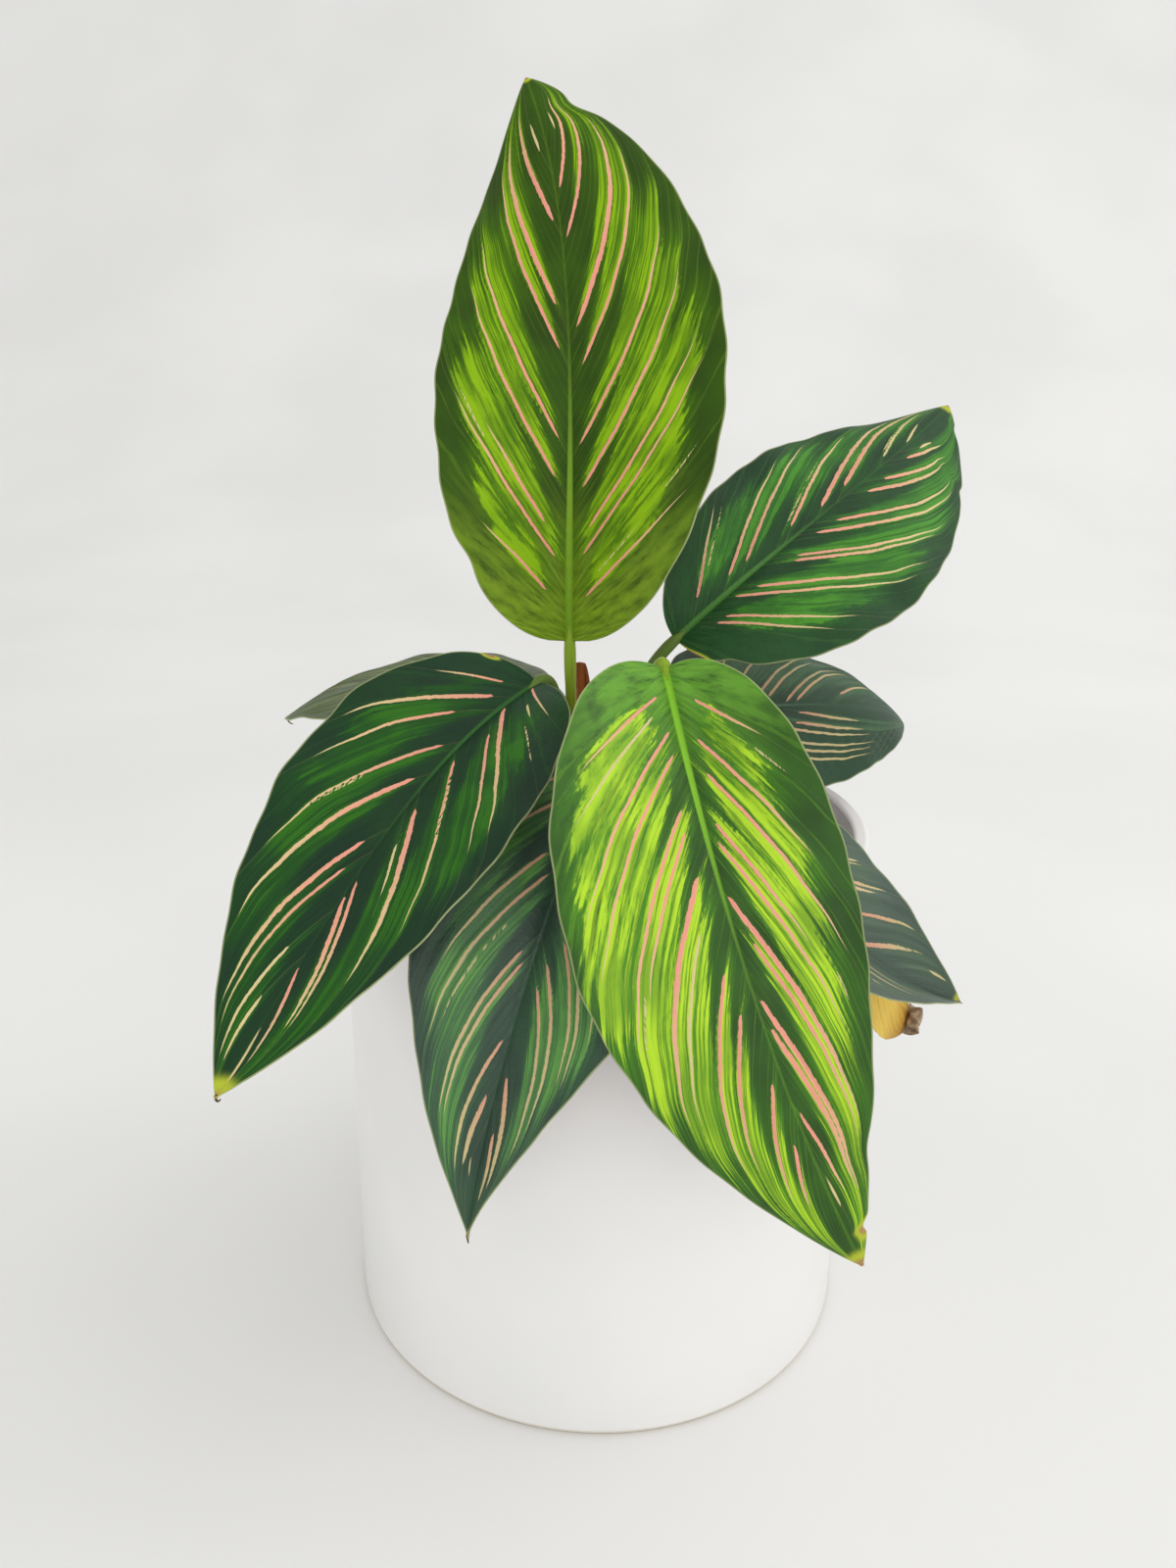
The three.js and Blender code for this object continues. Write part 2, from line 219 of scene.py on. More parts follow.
DRY_SHEATH = dict(
    base=(-3.4, 4.6, SOIL_TOP - HOLE_DEPTH + 2 * GAP), length=90, azimuth=-110, elevation=82, roll=0,
    droop=(6, -6), swerve=(0, 0), twist=10, half_width=(4.4, 4.6), fold=(38, 35), curl=(-40, -30),
    shape=(0.35, 0.25), wave=0.4, waves=3)

# The styles of stripes, each with its half width, whether it is pale and whether it is broken
PLAIN = "plain"
BOLD = "bold"
PALE = "pale"
BROKEN = "broken"
STRIPE_STYLES = {PLAIN: (0.42, 0, 0), BOLD: (0.6, 0, 0), PALE: (0.36, 1, 0), BROKEN: (0.26, 1, 1)}

# The stripes left and right of each midrib. Each is where it starts along the leaf, then how far out
# from the midrib it starts and ends, as shares of the length and of the half width, and its
# style if it isn't plain.
STRIPES = {
    "top": (
        [(0.09, 0.28, 0.73), (0.147, 0.16, 0.86), (0.203, 0.22, 0.62), (0.34, 0.64, 0.83, BROKEN),
         (0.28, 0.13, 0.84), (0.345, 0.1, 0.83), (0.495, 0.085, 0.78), (0.572, 0.1, 0.76, BOLD),
         (0.72, 0.07, 0.57, BOLD), (0.855, 0.12, 0.24, PALE)],
        [(0.08, 0.22, 0.86), (0.12, 0.3, 0.58, BROKEN), (0.25, 0.7, 0.86, BROKEN), (0.15, 0.14, 0.86),
         (0.195, 0.18, 0.82), (0.262, 0.11, 0.79), (0.333, 0.08, 0.76), (0.465, 0.1, 0.78),
         (0.53, 0.07, 0.76, BOLD), (0.685, 0.05, 0.62), (0.775, 0.05, 0.44), (0.89, 0.18, 0.23, PALE)]),
    "front": (
        [(0.085, 0.29, 0.72), (0.2, 0.62, 0.78, BROKEN), (0.155, 0.165, 0.75), (0.215, 0.155, 0.84),
         (0.295, 0.105, 0.56), (0.325, 0.085, 0.72), (0.56, 0.72, 0.8, BROKEN), (0.41, 0.045, 0.78, BOLD),
         (0.485, 0.13, 0.77), (0.57, 0.05, 0.68, BOLD), (0.615, 0.06, 0.61, BOLD),
         (0.745, 0.05, 0.34), (0.855, 0.08, 0.16, PALE)],
        [(0.07, 0.21, 0.82), (0.11, 0.26, 0.84, PALE), (0.133, 0.115, 0.86), (0.175, 0.115, 0.87),
         (0.265, 0.13, 0.84), (0.3, 0.14, 0.63), (0.51, 0.65, 0.81, BROKEN), (0.37, 0.13, 0.83, BOLD),
         (0.45, 0.21, 0.745, PALE), (0.515, 0.14, 0.73), (0.577, 0.125, 0.6), (0.688, 0.09, 0.5),
         (0.785, 0.125, 0.36)]),
    "right": (
        [(0.105, 0.28, 0.87), (0.165, 0.43, 0.8, BROKEN), (0.197, 0.165, 0.82), (0.25, 0.15, 0.87),
         (0.38, 0.155, 0.55, BROKEN), (0.39, 0.12, 0.74), (0.485, 0.08, 0.87, BOLD),
         (0.57, 0.105, 0.93, BOLD), (0.72, 0.15, 0.5, BROKEN), (0.71, 0.09, 0.6, PALE),
         (0.795, 0.03, 0.2, PALE)],
        [(0.1, 0.23, 0.83), (0.125, 0.22, 0.84), (0.175, 0.1, 0.87), (0.228, 0.15, 0.86),
         (0.335, 0.17, 0.78), (0.35, 0.15, 0.81), (0.425, 0.1, 0.79), (0.485, 0.12, 0.73),
         (0.6, 0.1, 0.56), (0.66, 0.11, 0.49), (0.755, 0.11, 0.35), (0.81, 0.135, 0.215, PALE)]),
    "left": (
        [(0.03, 0.14, 0.71), (0.23, 0.72, 0.77, BROKEN), (0.09, 0.32, 0.48, PALE),
         (0.16, 0.5, 0.71, BROKEN), (0.115, 0.07, 0.81, BOLD), (0.2, 0.2, 0.76), (0.285, 0.1, 0.75),
         (0.33, 0.2, 0.44, BROKEN), (0.415, 0.11, 0.69, BOLD), (0.495, 0.165, 0.34, PALE),
         (0.585, 0.05, 0.51), (0.62, 0.03, 0.45, BOLD), (0.765, 0.02, 0.33), (0.885, 0.02, 0.3, PALE)],
        [(0.065, 0.33, 0.81), (0.107, 0.19, 0.91, BOLD), (0.19, 0.275, 0.86), (0.263, 0.11, 0.85),
         (0.355, 0.1, 0.88, BOLD), (0.4, 0.44, 0.62, BROKEN), (0.51, 0.115, 0.85, BOLD),
         (0.57, 0.125, 0.82), (0.735, 0.215, 0.73, PALE), (0.83, 0.24, 0.54, PALE)]),
    "front_left": (
        [(0.1, 0.2, 0.8), (0.15, 0.14, 0.84), (0.25, 0.14, 0.82), (0.31, 0.1, 0.78), (0.38, 0.15, 0.82),
         (0.43, 0.2, 0.75), (0.475, 0.13, 0.78), (0.52, 0.12, 0.79), (0.685, 0.12, 0.65, BOLD),
         (0.79, 0.2, 0.55, BOLD)],
        [(0.1, 0.2, 0.8), (0.16, 0.16, 0.84), (0.28, 0.15, 0.72), (0.32, 0.1, 0.84),
         (0.425, 0.27, 0.69, BROKEN), (0.465, 0.11, 0.78), (0.485, 0.08, 0.72), (0.625, 0.07, 0.66),
         (0.73, 0.1, 0.42, BOLD), (0.85, 0.21, 0.25, PALE)]),
    "back_left": (
        [(0.1, 0.2, 0.75), (0.15, 0.14, 0.84), (0.27, 0.12, 0.8), (0.33, 0.1, 0.78), (0.47, 0.1, 0.75),
         (0.53, 0.12, 0.7), (0.68, 0.1, 0.5)],
        [(0.09, 0.2, 0.75), (0.14, 0.14, 0.84), (0.25, 0.12, 0.8), (0.31, 0.1, 0.78), (0.45, 0.1, 0.75),
         (0.51, 0.12, 0.7), (0.66, 0.1, 0.5)]),
    "back_right": (
        [(0.1, 0.2, 0.8), (0.16, 0.16, 0.84), (0.24, 0.12, 0.8), (0.28, 0.12, 0.78), (0.33, 0.05, 0.85),
         (0.37, 0.06, 0.8), (0.57, 0.18, 0.7)],
        [(0.1, 0.3, 0.66), (0.12, 0.52, 0.8), (0.13, 0.42, 0.72), (0.19, 0.2, 0.52), (0.34, 0.22, 0.42),
         (0.36, 0.1, 0.28)]),
    "low_right": (
        [(0.1, 0.2, 0.8), (0.15, 0.14, 0.84), (0.26, 0.14, 0.8), (0.32, 0.1, 0.82), (0.45, 0.55, 0.82),
         (0.5, 0.4, 0.85), (0.53, 0.42, 0.72), (0.62, 0.36, 0.84), (0.66, 0.08, 0.55, BOLD),
         (0.77, 0.43, 0.67, BROKEN), (0.88, 0.5, 0.7, PALE)],
        [(0.1, 0.2, 0.8), (0.15, 0.14, 0.84), (0.27, 0.14, 0.8), (0.33, 0.1, 0.78), (0.47, 0.1, 0.76),
         (0.53, 0.12, 0.7), (0.64, 0.7, 0.74, PALE)]),
}

# How far a vein runs towards the tip on its way out to the margin, as a share of the length, left and
# right, and how much less the veins near the base do so
VEIN_SWEEP = {
    "top": (0.52, 0.54), "front": (0.53, 0.49), "right": (0.52, 0.56), "left": (0.64, 0.47),
    "front_left": (0.42, 0.46), "back_left": (0.5, 0.5), "back_right": (0.47, 1.5),
    "low_right": (0.36, 0.45), "withered": (0.6, 0.6), "sheath": (1.0, 1.0),
}
BASE_VEIN_DROP = 0.9
BASE_VEIN_REACH = 0.085

# How veins run: how bowed they may be, how much less far those near the tip run and where, the least and
# greatest place that a vein can start from, how often that is halved, and the step for a vein's slope
VEIN_BOW = (-0.2, 0.4)
TIP_VEIN_DROP = 0.25
TIP_VEIN_RANGE = (0.45, 0.75)
VEIN_LIMITS = (-1.6, 1.02)
VEIN_HALVINGS = 24
VEIN_STEP = 0.01

# Furrows before pairs of stripes: the least share of the length between two, how far a furrow lies
# before its stripe, and its width
FURROW_SPACING = 0.05
FURROW_LEAD = 0.018
FURROW_WIDTH = 0.011

# Bright zones: how far out they start and end away from stripes and beside one, as shares of the half
# width, how far behind a stripe that fades, the least half width in millimetres that a depth is counted
# with, and how many millimetres less deep they are at the blade's ends
ZONE_INNER = (0.5, 0.1)
ZONE_OUTER = (0.6, 0.84)
NEARNESS_REACH = 0.06
ZONE_LEAST_WIDTH = 12
ZONE_END_DEPTH = 9

# Upper sides: dark ground, mid-green, bright zones, midrib, the ground's colour by the base and how far
# that reaches, how strong and how even the zones are, how clear and how pale the stripes are, the height
# of the pleats and of the folds by the stripes, where the zones end along the blade, how glossy it is,
# the midrib's half width at the base, and how much farther out than usual the zones reach in the half
# nearer the base, left and right. The bright base colours of the top and front leaves are partly the
# leaves' own yellow-green and partly painted light shining through the blade.
LOOKS = {
    "top": dict(
        dark="#2c470c", mid="#4a7806", lime="#8cb90e", rib="#7da42c", base="#8cae2a", reach=0.3,
        zone=1.0, even=0.4, marked=1.0, faded=0.0, pleat=0.16, crease=0.25,
        end=0.82, gloss=0.12, rib_width=1.2),
    "front": dict(
        dark="#2a4c1c", mid="#4e8c1e", lime="#b6e02e", rib="#86c232", base="#74b238", reach=0.27,
        zone=1.0, even=0.4, marked=1.0, faded=0.0, pleat=0.16, crease=0.7,
        end=0.88, gloss=0.22, rib_width=0.95, shift=(-0.12, 0.14)),
    "right": dict(
        dark="#1f3f24", mid="#2f6c22", lime="#4f982a", rib="#4c8038", base="#2b5a2b", reach=0.3,
        zone=0.85, even=0.3, marked=1.0, faded=0.25, pleat=0.14, crease=0.35,
        end=0.9, gloss=0.2, rib_width=0.85),
    "left": dict(
        dark="#15331f", mid="#1c5214", lime="#33770e", rib="#32622a", base="#22482a", reach=0.2,
        zone=0.7, even=0.1, marked=1.0, faded=0.2, pleat=0.12, crease=0.25,
        end=0.9, gloss=0.16, rib_width=0.6),
    "front_left": dict(
        dark="#2c4638", mid="#447646", lime="#68aa4a", rib="#2f5838", base="#1c3a24", reach=0.2,
        zone=0.85, even=0.2, marked=0.95, faded=0.4, pleat=0.14, crease=0.3,
        end=0.72, gloss=0.45, rib_width=0.35),
    "back_left": dict(
        dark="#42542a", mid="#546636", lime="#667a44", rib="#6c7c46", base="#3f5026", reach=0.2,
        zone=0.3, even=0.3, marked=0.12, faded=0.8, pleat=0.3, crease=0.3,
        end=0.9, gloss=0.3, rib_width=0.6),
    "back_right": dict(
        dark="#2b4632", mid="#3d6040", lime="#527a50", rib="#4e7052", base="#2b4632", reach=0.2,
        zone=0.5, even=0.3, marked=0.8, faded=0.4, pleat=0.16, crease=0.3,
        end=0.9, gloss=0.15, rib_width=0.5),
    "low_right": dict(
        dark="#43564a", mid="#4a624d", lime="#5a7852", rib="#5c7858", base="#43564a", reach=0.2,
        zone=0.3, even=0.2, marked=0.9, faded=0.3, pleat=0.14, crease=0.25,
        end=0.9, gloss=0.45, rib_width=0.5),
}
DRY_LOOK = dict(pleat=0.3, crease=0)
PINK = "#ee9f8a"
CREAM = "#d9c890"
MARGIN_COLOUR = "#b9c08a"
YELLOWED = "#b6c234"
SCORCHED = "#b08c58"
STEM_FOOT_COLOUR = "#4d3420"

# Millimetres between the thin lines that repeat along the veins
FINE_VEINS = 4.7
DARK_VEINS = 6.1
UNDER_VEINS = 3.4
DRY_VEINS = 2.2

# Places where a blade is yellowed or scorched: along, across, radius and how strongly
WORN_SPOTS = {
    "front": [(1.0, 0.0, 4, 0.8), (0.95, -0.9, 2.5, 0.8)],
    "left": [(1.0, 0.0, 5.5, 0.66), (0.045, 0.99, 1.6, 0.95)],
    "top": [(1.0, 0.0, 1.5, 0.8)],
    "back_left": [(1.0, 0.0, 5, 1.0)],
    "low_right": [(1.0, 0.0, 3, 0.8)],
    "right": [(1.0, 0.0, 3, 0.7), (0.012, 1.0, 2.0, 0.9)],
}


def mix(pair, share):
    return pair[0] + (pair[1] - pair[0]) * share


def smooth(value, low, high):
    share = np.clip((value - low) / (high - low), 0, 1)
    return share * share * (3 - 2 * share)


def unit(vector):
    return vector / np.linalg.norm(vector, axis=-1, keepdims=True)


def turned(vector, axis, angle):
    """vector turned about a unit axis."""
    sideways = np.cross(axis, vector)
    along = axis * np.dot(axis, vector)
    return vector * math.cos(angle) + sideways * math.sin(angle) + along * (1 - math.cos(angle))


def midrib_frames(leaf):
    """Place, forward, right and upper-side directions at equal steps along the midrib."""
    azimuth, elevation, roll = (leaf[key] * DEG for key in ("azimuth", "elevation", "roll"))
    level = math.cos(elevation)
    forward = np.array([level * math.cos(azimuth), level * math.sin(azimuth), math.sin(elevation)])
    right = np.array([math.sin(azimuth), -math.cos(azimuth), 0.0])
    up = np.cross(right, forward)
    right, up = (turned(side, forward, -roll) for side in (right, up))
    place = np.array(leaf["base"], float)
    frames = [(place, forward, right, up)]
    for i in range(CURVE_STEPS):
        s = (i + 0.5) / CURVE_STEPS
        turn = -right * mix(leaf["droop"], s) - up * mix(leaf["swerve"], s) + forward * leaf["twist"]
        turn = turn * DEG / CURVE_STEPS
        angle = np.linalg.norm(turn)
        axis = turn / max(angle, 1e-12)
        place = place + turned(forward, axis, angle / 2) * leaf["length"] / CURVE_STEPS
        forward, right, up = (turned(way, axis, angle) for way in (forward, right, up))
        frames.append((place, forward, right, up))
    return np.array(frames)


def frames_at(frames, s):
    """The midrib's frames at the shares s of its length."""
    steps = np.clip(s, 0, 1) * CURVE_STEPS
    low = np.minimum(steps.astype(int), CURVE_STEPS - 1)
    share = (steps - low)[:, None, None]
    return frames[low] * (1 - share) + frames[low + 1] * share


def outline(leaf, s):
    """The half widths left and right at s."""
    p, r = leaf["shape"]
    widest = p / (p + r)
    share = (s / widest) ** p * ((1 - s) / (1 - widest)) ** r
    least = mix((BASE_HALF_WIDTH, TIP_HALF_WIDTH), s)
    widths = leaf["half_width"]
    return [np.maximum(share * widths[side] * uneven(leaf, s, side), least) for side in (0, 1)]


def uneven(leaf, s, side):
    """The share of the half width that is left by the margin's slow waves and by nicks."""
    share = 1 - MARGIN_WAVE * (1 + np.sin(19 * s + 5 * side + leaf["length"]) * np.sin(47 * s + side))
    for along, nick_side, width, depth in leaf.get("nicks", []):
        if nick_side == side:
            share = share - depth * np.exp(-(((s - along) / width) ** 2))
    return share


def spaced(count, evenness):
    """Shares from 0 to 1, closer together near both ends."""
    even = np.linspace(0, 1, count + 1)
    return evenness * even + (1 - evenness) * (1 - np.cos(math.pi * even)) / 2


def blade_columns():
    """Columns across a blade from -1 to 1, closer together by the midrib and the margins."""
    half = spaced(HALF_COLUMNS, COLUMN_EVENNESS)
    return np.concatenate([-half[::-1], half[1:]])


def blade_surface(leaf, s, u):
    """Places and normals of a blade's middle surface, and the half width, over rows s and columns u."""
    rows = frames_at(midrib_frames(leaf), s)
    place, right, up = rows[:, None, 0], rows[:, None, 2], rows[:, None, 3]
    left_width, right_width = outline(leaf, s)
    half_width = np.where(u[None] < 0, left_width[:, None], right_width[:, None])
    side = np.where(u < 0, -1.0, 1.0)[None, :, None]
    reach = np.abs(u)[None]
    fold, curl = ((mix(leaf[key], s) * DEG)[:, None] for key in ("fold", "curl"))
    out = np.zeros_like(half_width)
    rise = np.zeros_like(half_width)
    for k in range(SECTION_STEPS):
        angle = fold - curl * reach * (k + 0.5) / SECTION_STEPS
        out += np.cos(angle) * reach * half_width / SECTION_STEPS
        rise += np.sin(angle) * reach * half_width / SECTION_STEPS
    phase = np.where(u < 0, LEFT_WAVE_PHASE, 0)[None]
    swell = (np.sin(math.pi * s))[:, None] * reach ** 2
    rise += leaf["wave"] * swell * np.sin(TURN * leaf["waves"] * s[:, None] + phase)
    lean = (fold - curl * reach)[..., None]
    normal = unit(up * np.cos(lean) - right * side * np.sin(lean))
    return place + right * side * out[..., None] + up * rise[..., None], normal, half_width


def vein_reach(start, sweep):
    """How far towards the tip a vein that starts at a share of the length runs in all."""
    near_base = BASE_VEIN_DROP * np.exp(-np.maximum(start, 0) / BASE_VEIN_REACH) if sweep <= 1 else 0
    return sweep * (1 - near_base - TIP_VEIN_DROP * smooth(start, *TIP_VEIN_RANGE))


def vein_along(start, out, sweep):
    """How far along the leaf the vein from start is, out from the midrib by a share of the width."""
    bow = np.clip(0.5 - start, *VEIN_BOW)
    return start + vein_reach(start, sweep) * out * (1 - bow * (1 - out))


def vein_start(along, out, sweep):
    """Where along the midrib the vein through a point starts, found by halving."""
    low, high = (np.full(np.broadcast(along, out).shape, limit) for limit in VEIN_LIMITS)
    for _ in range(VEIN_HALVINGS):
        middle = (low + high) / 2
        beyond = vein_along(middle, out, sweep) > along
        high = np.where(beyond, middle, high)
        low = np.where(beyond, low, middle)
    return (low + high) / 2


def stripe_table(name, side):
    """Of the stripes in one half of a blade: veins, inner and outer ends, half widths, pale, broken."""
    sweep = VEIN_SWEEP[name][side]
    rows = []
    for along, inner, outer, *style in STRIPES[name][side]:
        start = float(vein_start(np.array(along), np.array(inner), sweep))
        rows.append((start, inner, outer, *STRIPE_STYLES[style[0] if style else PLAIN]))
    return np.array(rows).T


def nearness(vein, starts):
    """1 on the stripes' veins, falling fast towards the leaf's base and slowly towards its tip."""
    beyond = vein[..., None] - starts
    sharp = smooth(beyond, -0.02, 0.002)
    slow = np.exp(-((np.maximum(beyond, 0) / NEARNESS_REACH) ** 2))
    return (sharp * slow).max(-1)


def face_corners(grid):
    """A grid's values at the four corners of its faces, in the order of grid_quads."""
    return np.stack([grid[:-1, :-1], grid[:-1, 1:], grid[1:, 1:], grid[1:, :-1]], -1)


def corner_pairs(first, second):
    """Two grids as pairs of values at the corners of the faces."""
    return np.stack([face_corners(first), face_corners(second)], -1)


def face_middle(grid):
    return (grid[:-1, :-1] + grid[1:, 1:]) / 2


def vein_grid(leaf, s, out, half_width, sweep):
    """Where the veins through a grid of points start, as shares of the length, and how many millimetres
    there are across them to one unit of that."""
    vein = vein_start(s[:, None], out[None], sweep)
    ahead = vein_along(vein, out + VEIN_STEP, sweep)
    slope = (ahead - vein_along(vein, out - VEIN_STEP, sweep)) / (2 * VEIN_STEP)
    later = vein_along(vein + VEIN_STEP / 2, out, sweep)
    spread = (later - vein_along(vein - VEIN_STEP / 2, out, sweep)) / VEIN_STEP
    run = leaf["length"] * slope
    return vein, half_width / np.sqrt(half_width ** 2 + run ** 2) * leaf["length"] * spread


def nearest_stripe(vein, out, across, half_width, starts, inners, outers):
    """The number of the stripe that each face lies nearest to."""
    face_out = face_middle(out)[..., None]
    aside = np.abs(face_middle(vein)[..., None] - starts) * face_middle(across)[..., None]
    beyond = np.maximum(np.maximum(inners - face_out, face_out - outers), 0)
    return np.argmin(aside + beyond * face_middle(half_width)[..., None], axis=-1)


def zone_fields(look, side, vein, out, half_width, near):
    """How many millimetres deep each point lies in a bright zone."""
    zone_in = mix(ZONE_INNER, near)
    zone_out = mix(ZONE_OUTER, near) + look.get("shift", (0, 0))[side] * smooth(-vein, -0.5, -0.15)
    depth = np.minimum(out - zone_in, zone_out - out) * np.maximum(half_width, ZONE_LEAST_WIDTH)
    ends = smooth(vein, -0.02, 0.14) * smooth(-vein, -look["end"], 0.2 - look["end"])
    return depth - ZONE_END_DEPTH * (1 - ends)


def stripe_fields(name, side, s, out, half_width):
    """For one half of a blade: the veins, how far each corner is from the middle of its face's nearest
    stripe and how far along it, how deep it lies in a bright zone, and that stripe's style."""
    leaf = LEAVES[name]
    vein, across = vein_grid(leaf, s, out, half_width, VEIN_SWEEP[name][side])
    out = np.broadcast_to(out, vein.shape)
    starts, inners, outers, widths, pale, broken = stripe_table(name, side)
    nearest = nearest_stripe(vein, out, across, half_width, starts, inners, outers)
    start, inner, outer = (ends[nearest][..., None] for ends in (starts, inners, outers))
    near = nearness(vein, starts)
    depth = zone_fields(LOOKS[name], side, vein, out, half_width, near)
    return dict(
        vein=face_corners(vein) * leaf["length"], out=face_corners(out) * face_corners(half_width),
        off=(face_corners(vein) - start) * face_corners(across),
        along=(face_corners(out) - inner) / (outer - inner),
        depth=face_corners(depth), near=face_corners(near),
        stripe_width=widths[nearest], stripe_pale=pale[nearest], stripe_broken=broken[nearest])


def crease_depth(name, side, vein, reach):
    """1 along the furrow before each pair of stripes, fading towards the margin."""
    if name not in STRIPES:
        return np.zeros_like(vein)
    starts = sorted(stripe_table(name, side)[0])
    first = [v for i, v in enumerate(starts) if i == 0 or v - starts[i - 1] > FURROW_SPACING]
    away = (vein[..., None] - np.array(first) + FURROW_LEAD) / FURROW_WIDTH
    furrows = np.exp(-(away ** 2)).max(-1)
    return furrows * smooth(reach, 0.02, 0.12) * smooth(-reach, -0.85, -0.3)


def detail_relief(name, leaf, s, u, half_width):
    """Height that pleats, furrows by the stripes and the midrib's groove add to the upper side."""
    look = LOOKS.get(name, DRY_LOOK)
    reach = np.abs(u)[None]
    height = np.zeros_like(half_width)
    for side, sweep in enumerate(VEIN_SWEEP[name]):
        veins = vein_start(s[:, None], reach, sweep) * leaf["length"]
        on_side = (u < 0) if side == 0 else (u >= 0)
        turns = TURN * veins / PLEAT_SPACING
        pleat = np.sin(turns + 0.7 * np.sin(turns / 2.7) + side)
        pleat = pleat * look["pleat"] * smooth(reach, 0.04, 0.25)
        fold = crease_depth(name, side, veins / leaf["length"], reach) * smooth(reach * half_width, 3, 6)
        height = np.where(on_side[None], pleat - look["crease"] * fold, height)
    height = height * smooth(-reach, -1, -0.8) * smooth(half_width, 4, 16)
    depth, width = (mix(ends, s)[:, None] for ends in (GROOVE_DEPTH, GROOVE_WIDTH))
    return height - depth * np.exp(-((reach * half_width / width) ** 2))


def grid_quads(rows, columns, first, flipped=False):
    """Quads over a grid of rows by columns of points."""
    i, j = np.meshgrid(np.arange(rows - 1), np.arange(columns - 1), indexing="ij")
    corner = first + i * columns + j
    quads = np.stack([corner, corner + 1, corner + columns + 1, corner + columns], -1).reshape(-1, 4)
    return quads[:, ::-1] if flipped else quads


def ring_quads(rings, sides, first=0, flipped=False):
    """Quads between neighbouring rings of points, each ring with the same number of sides."""
    faces = []
    for low in range(first, first + (rings - 1) * sides, sides):
        for j in range(sides):
            k = (j + 1) % sides
            face = (low + j, low + k, low + sides + k, low + sides + j)
            faces.append((face[0], face[3], face[2], face[1]) if flipped else face)
    return faces


def make_object(name, points, faces, materials, smooth_faces=None, slots=None):
    mesh = bpy.data.meshes.new(name)
    mesh.from_pydata((np.asarray(points) * MM).tolist(), [], [list(face) for face in faces])
    for material in materials:
        mesh.materials.append(material)
    if slots is not None:
        mesh.polygons.foreach_set("material_index", np.asarray(slots, np.int32))
    flags = np.ones(len(faces), bool) if smooth_faces is None else smooth_faces
    mesh.polygons.foreach_set("use_smooth", flags)
    mesh.update()
    made = bpy.data.objects.new(name, mesh)
    bpy.context.scene.collection.objects.link(made)
    return made


def add_corner_pairs(mesh, name, pairs):
    layer = mesh.uv_layers.new(name=name, do_init=False)
    layer.uv.foreach_set("vector", np.ascontiguousarray(pairs, dtype=np.float32).ravel())


def add_sheet_pairs(mesh, layers):
    """Adds pairs of values to both sides of a closed sheet, and zeros to its other faces."""
    for name, pairs in layers.items():
        top = pairs.reshape(-1, 4, 2)
        sides = np.concatenate([top, top[:, ::-1]]).reshape(-1, 2)
        others = np.zeros((len(mesh.loops) - len(sides), 2))
        add_corner_pairs(mesh, name, np.concatenate([sides, others]))


def add_sheet_values(mesh, name, values):
    """Adds one value a face to both sides of a closed sheet, and zeros to its other faces."""
    filled = np.zeros(len(mesh.polygons), np.float32)
    filled[:2 * values.size] = np.tile(values.ravel(), 2)
    mesh.attributes.new(name, "FLOAT", "FACE").data.foreach_set("value", filled)


def finish_piece(made, nodes):
    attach(made, "root")
    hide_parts(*nodes)


def border(rows, columns, under):
    """Quads that join the upper grid, whose first point is 0, to the lower one, whose first is under."""
    faces = []
    last = (rows - 1) * columns
    for i in range(rows - 1):
        a, b = i * columns, (i + 1) * columns
        faces.append((a, b, under + b, under + a))
        a, b = a + columns - 1, b + columns - 1
        faces.append((b, a, under + a, under + b))
    for j in range(columns - 1):
        faces.append((j + 1, j, under + j, under + j + 1))
        faces.append((last + j, last + j + 1, under + last + j + 1, under + last + j))
    return np.array(faces)


def closed_sheet(upper, lower):
    """Points and faces of the body between two grids of points: the upper faces, then the lower ones,
    then those round the rim."""
    rows, columns = upper.shape[:2]
    under = rows * columns
    points = np.concatenate([upper.reshape(-1, 3), lower.reshape(-1, 3)])
    flipped = grid_quads(rows, columns, under, flipped=True)
    return points, [grid_quads(rows, columns, 0), flipped, border(rows, columns, under)]


def tip_hook(leaf, length, bend):
    """A thread-like dry tip that carries the midrib on and bends under."""
    place, forward, right, _ = midrib_frames(leaf)[-1]
    line = [place - forward * HOOK_OVERLAP]
    for _ in range(HOOK_STEPS):
        forward = turned(forward, right, -bend * DEG / HOOK_STEPS)
        line.append(line[-1] + forward * length / HOOK_STEPS)
    return tube(np.array(line), mix(HOOK_RADII, np.linspace(0, 1, HOOK_STEPS + 1)), HOOK_SIDES)


def worn_share(name, s, u, half_width):
    """How yellowed or scorched each point is, from 0 to 1."""
    share = np.zeros_like(half_width)
    for along, across, radius, strength in WORN_SPOTS.get(name, []):
        away = np.hypot((s[:, None] - along) * LEAVES[name]["length"], (u[None] - across) * half_width)
        share = np.maximum(share, strength * np.exp(-((away / radius) ** 2)))
    return share


def leaf_points(name, leaf, s, u):
    """Upper and under points of a blade, and its half widths."""
    place, normal, half_width = blade_surface(leaf, s, u)
    relief = detail_relief(name, leaf, s, u, half_width)
    reach = np.abs(u)[None]
    thickness = mix((MID_THICKNESS, MARGIN_THICKNESS), reach ** 2)
    depth, width = (mix(ends, s)[:, None] for ends in (KEEL_DEPTH, KEEL_WIDTH))
    keel = depth * np.exp(-((reach * half_width / width) ** 2))
    upper = place + normal * (relief + thickness / 2)[..., None]
    lower_relief = np.where(reach * half_width < width * 2, 0, relief)
    lower = place + normal * (lower_relief - thickness / 2 - keel)[..., None]
    return upper, lower, half_width


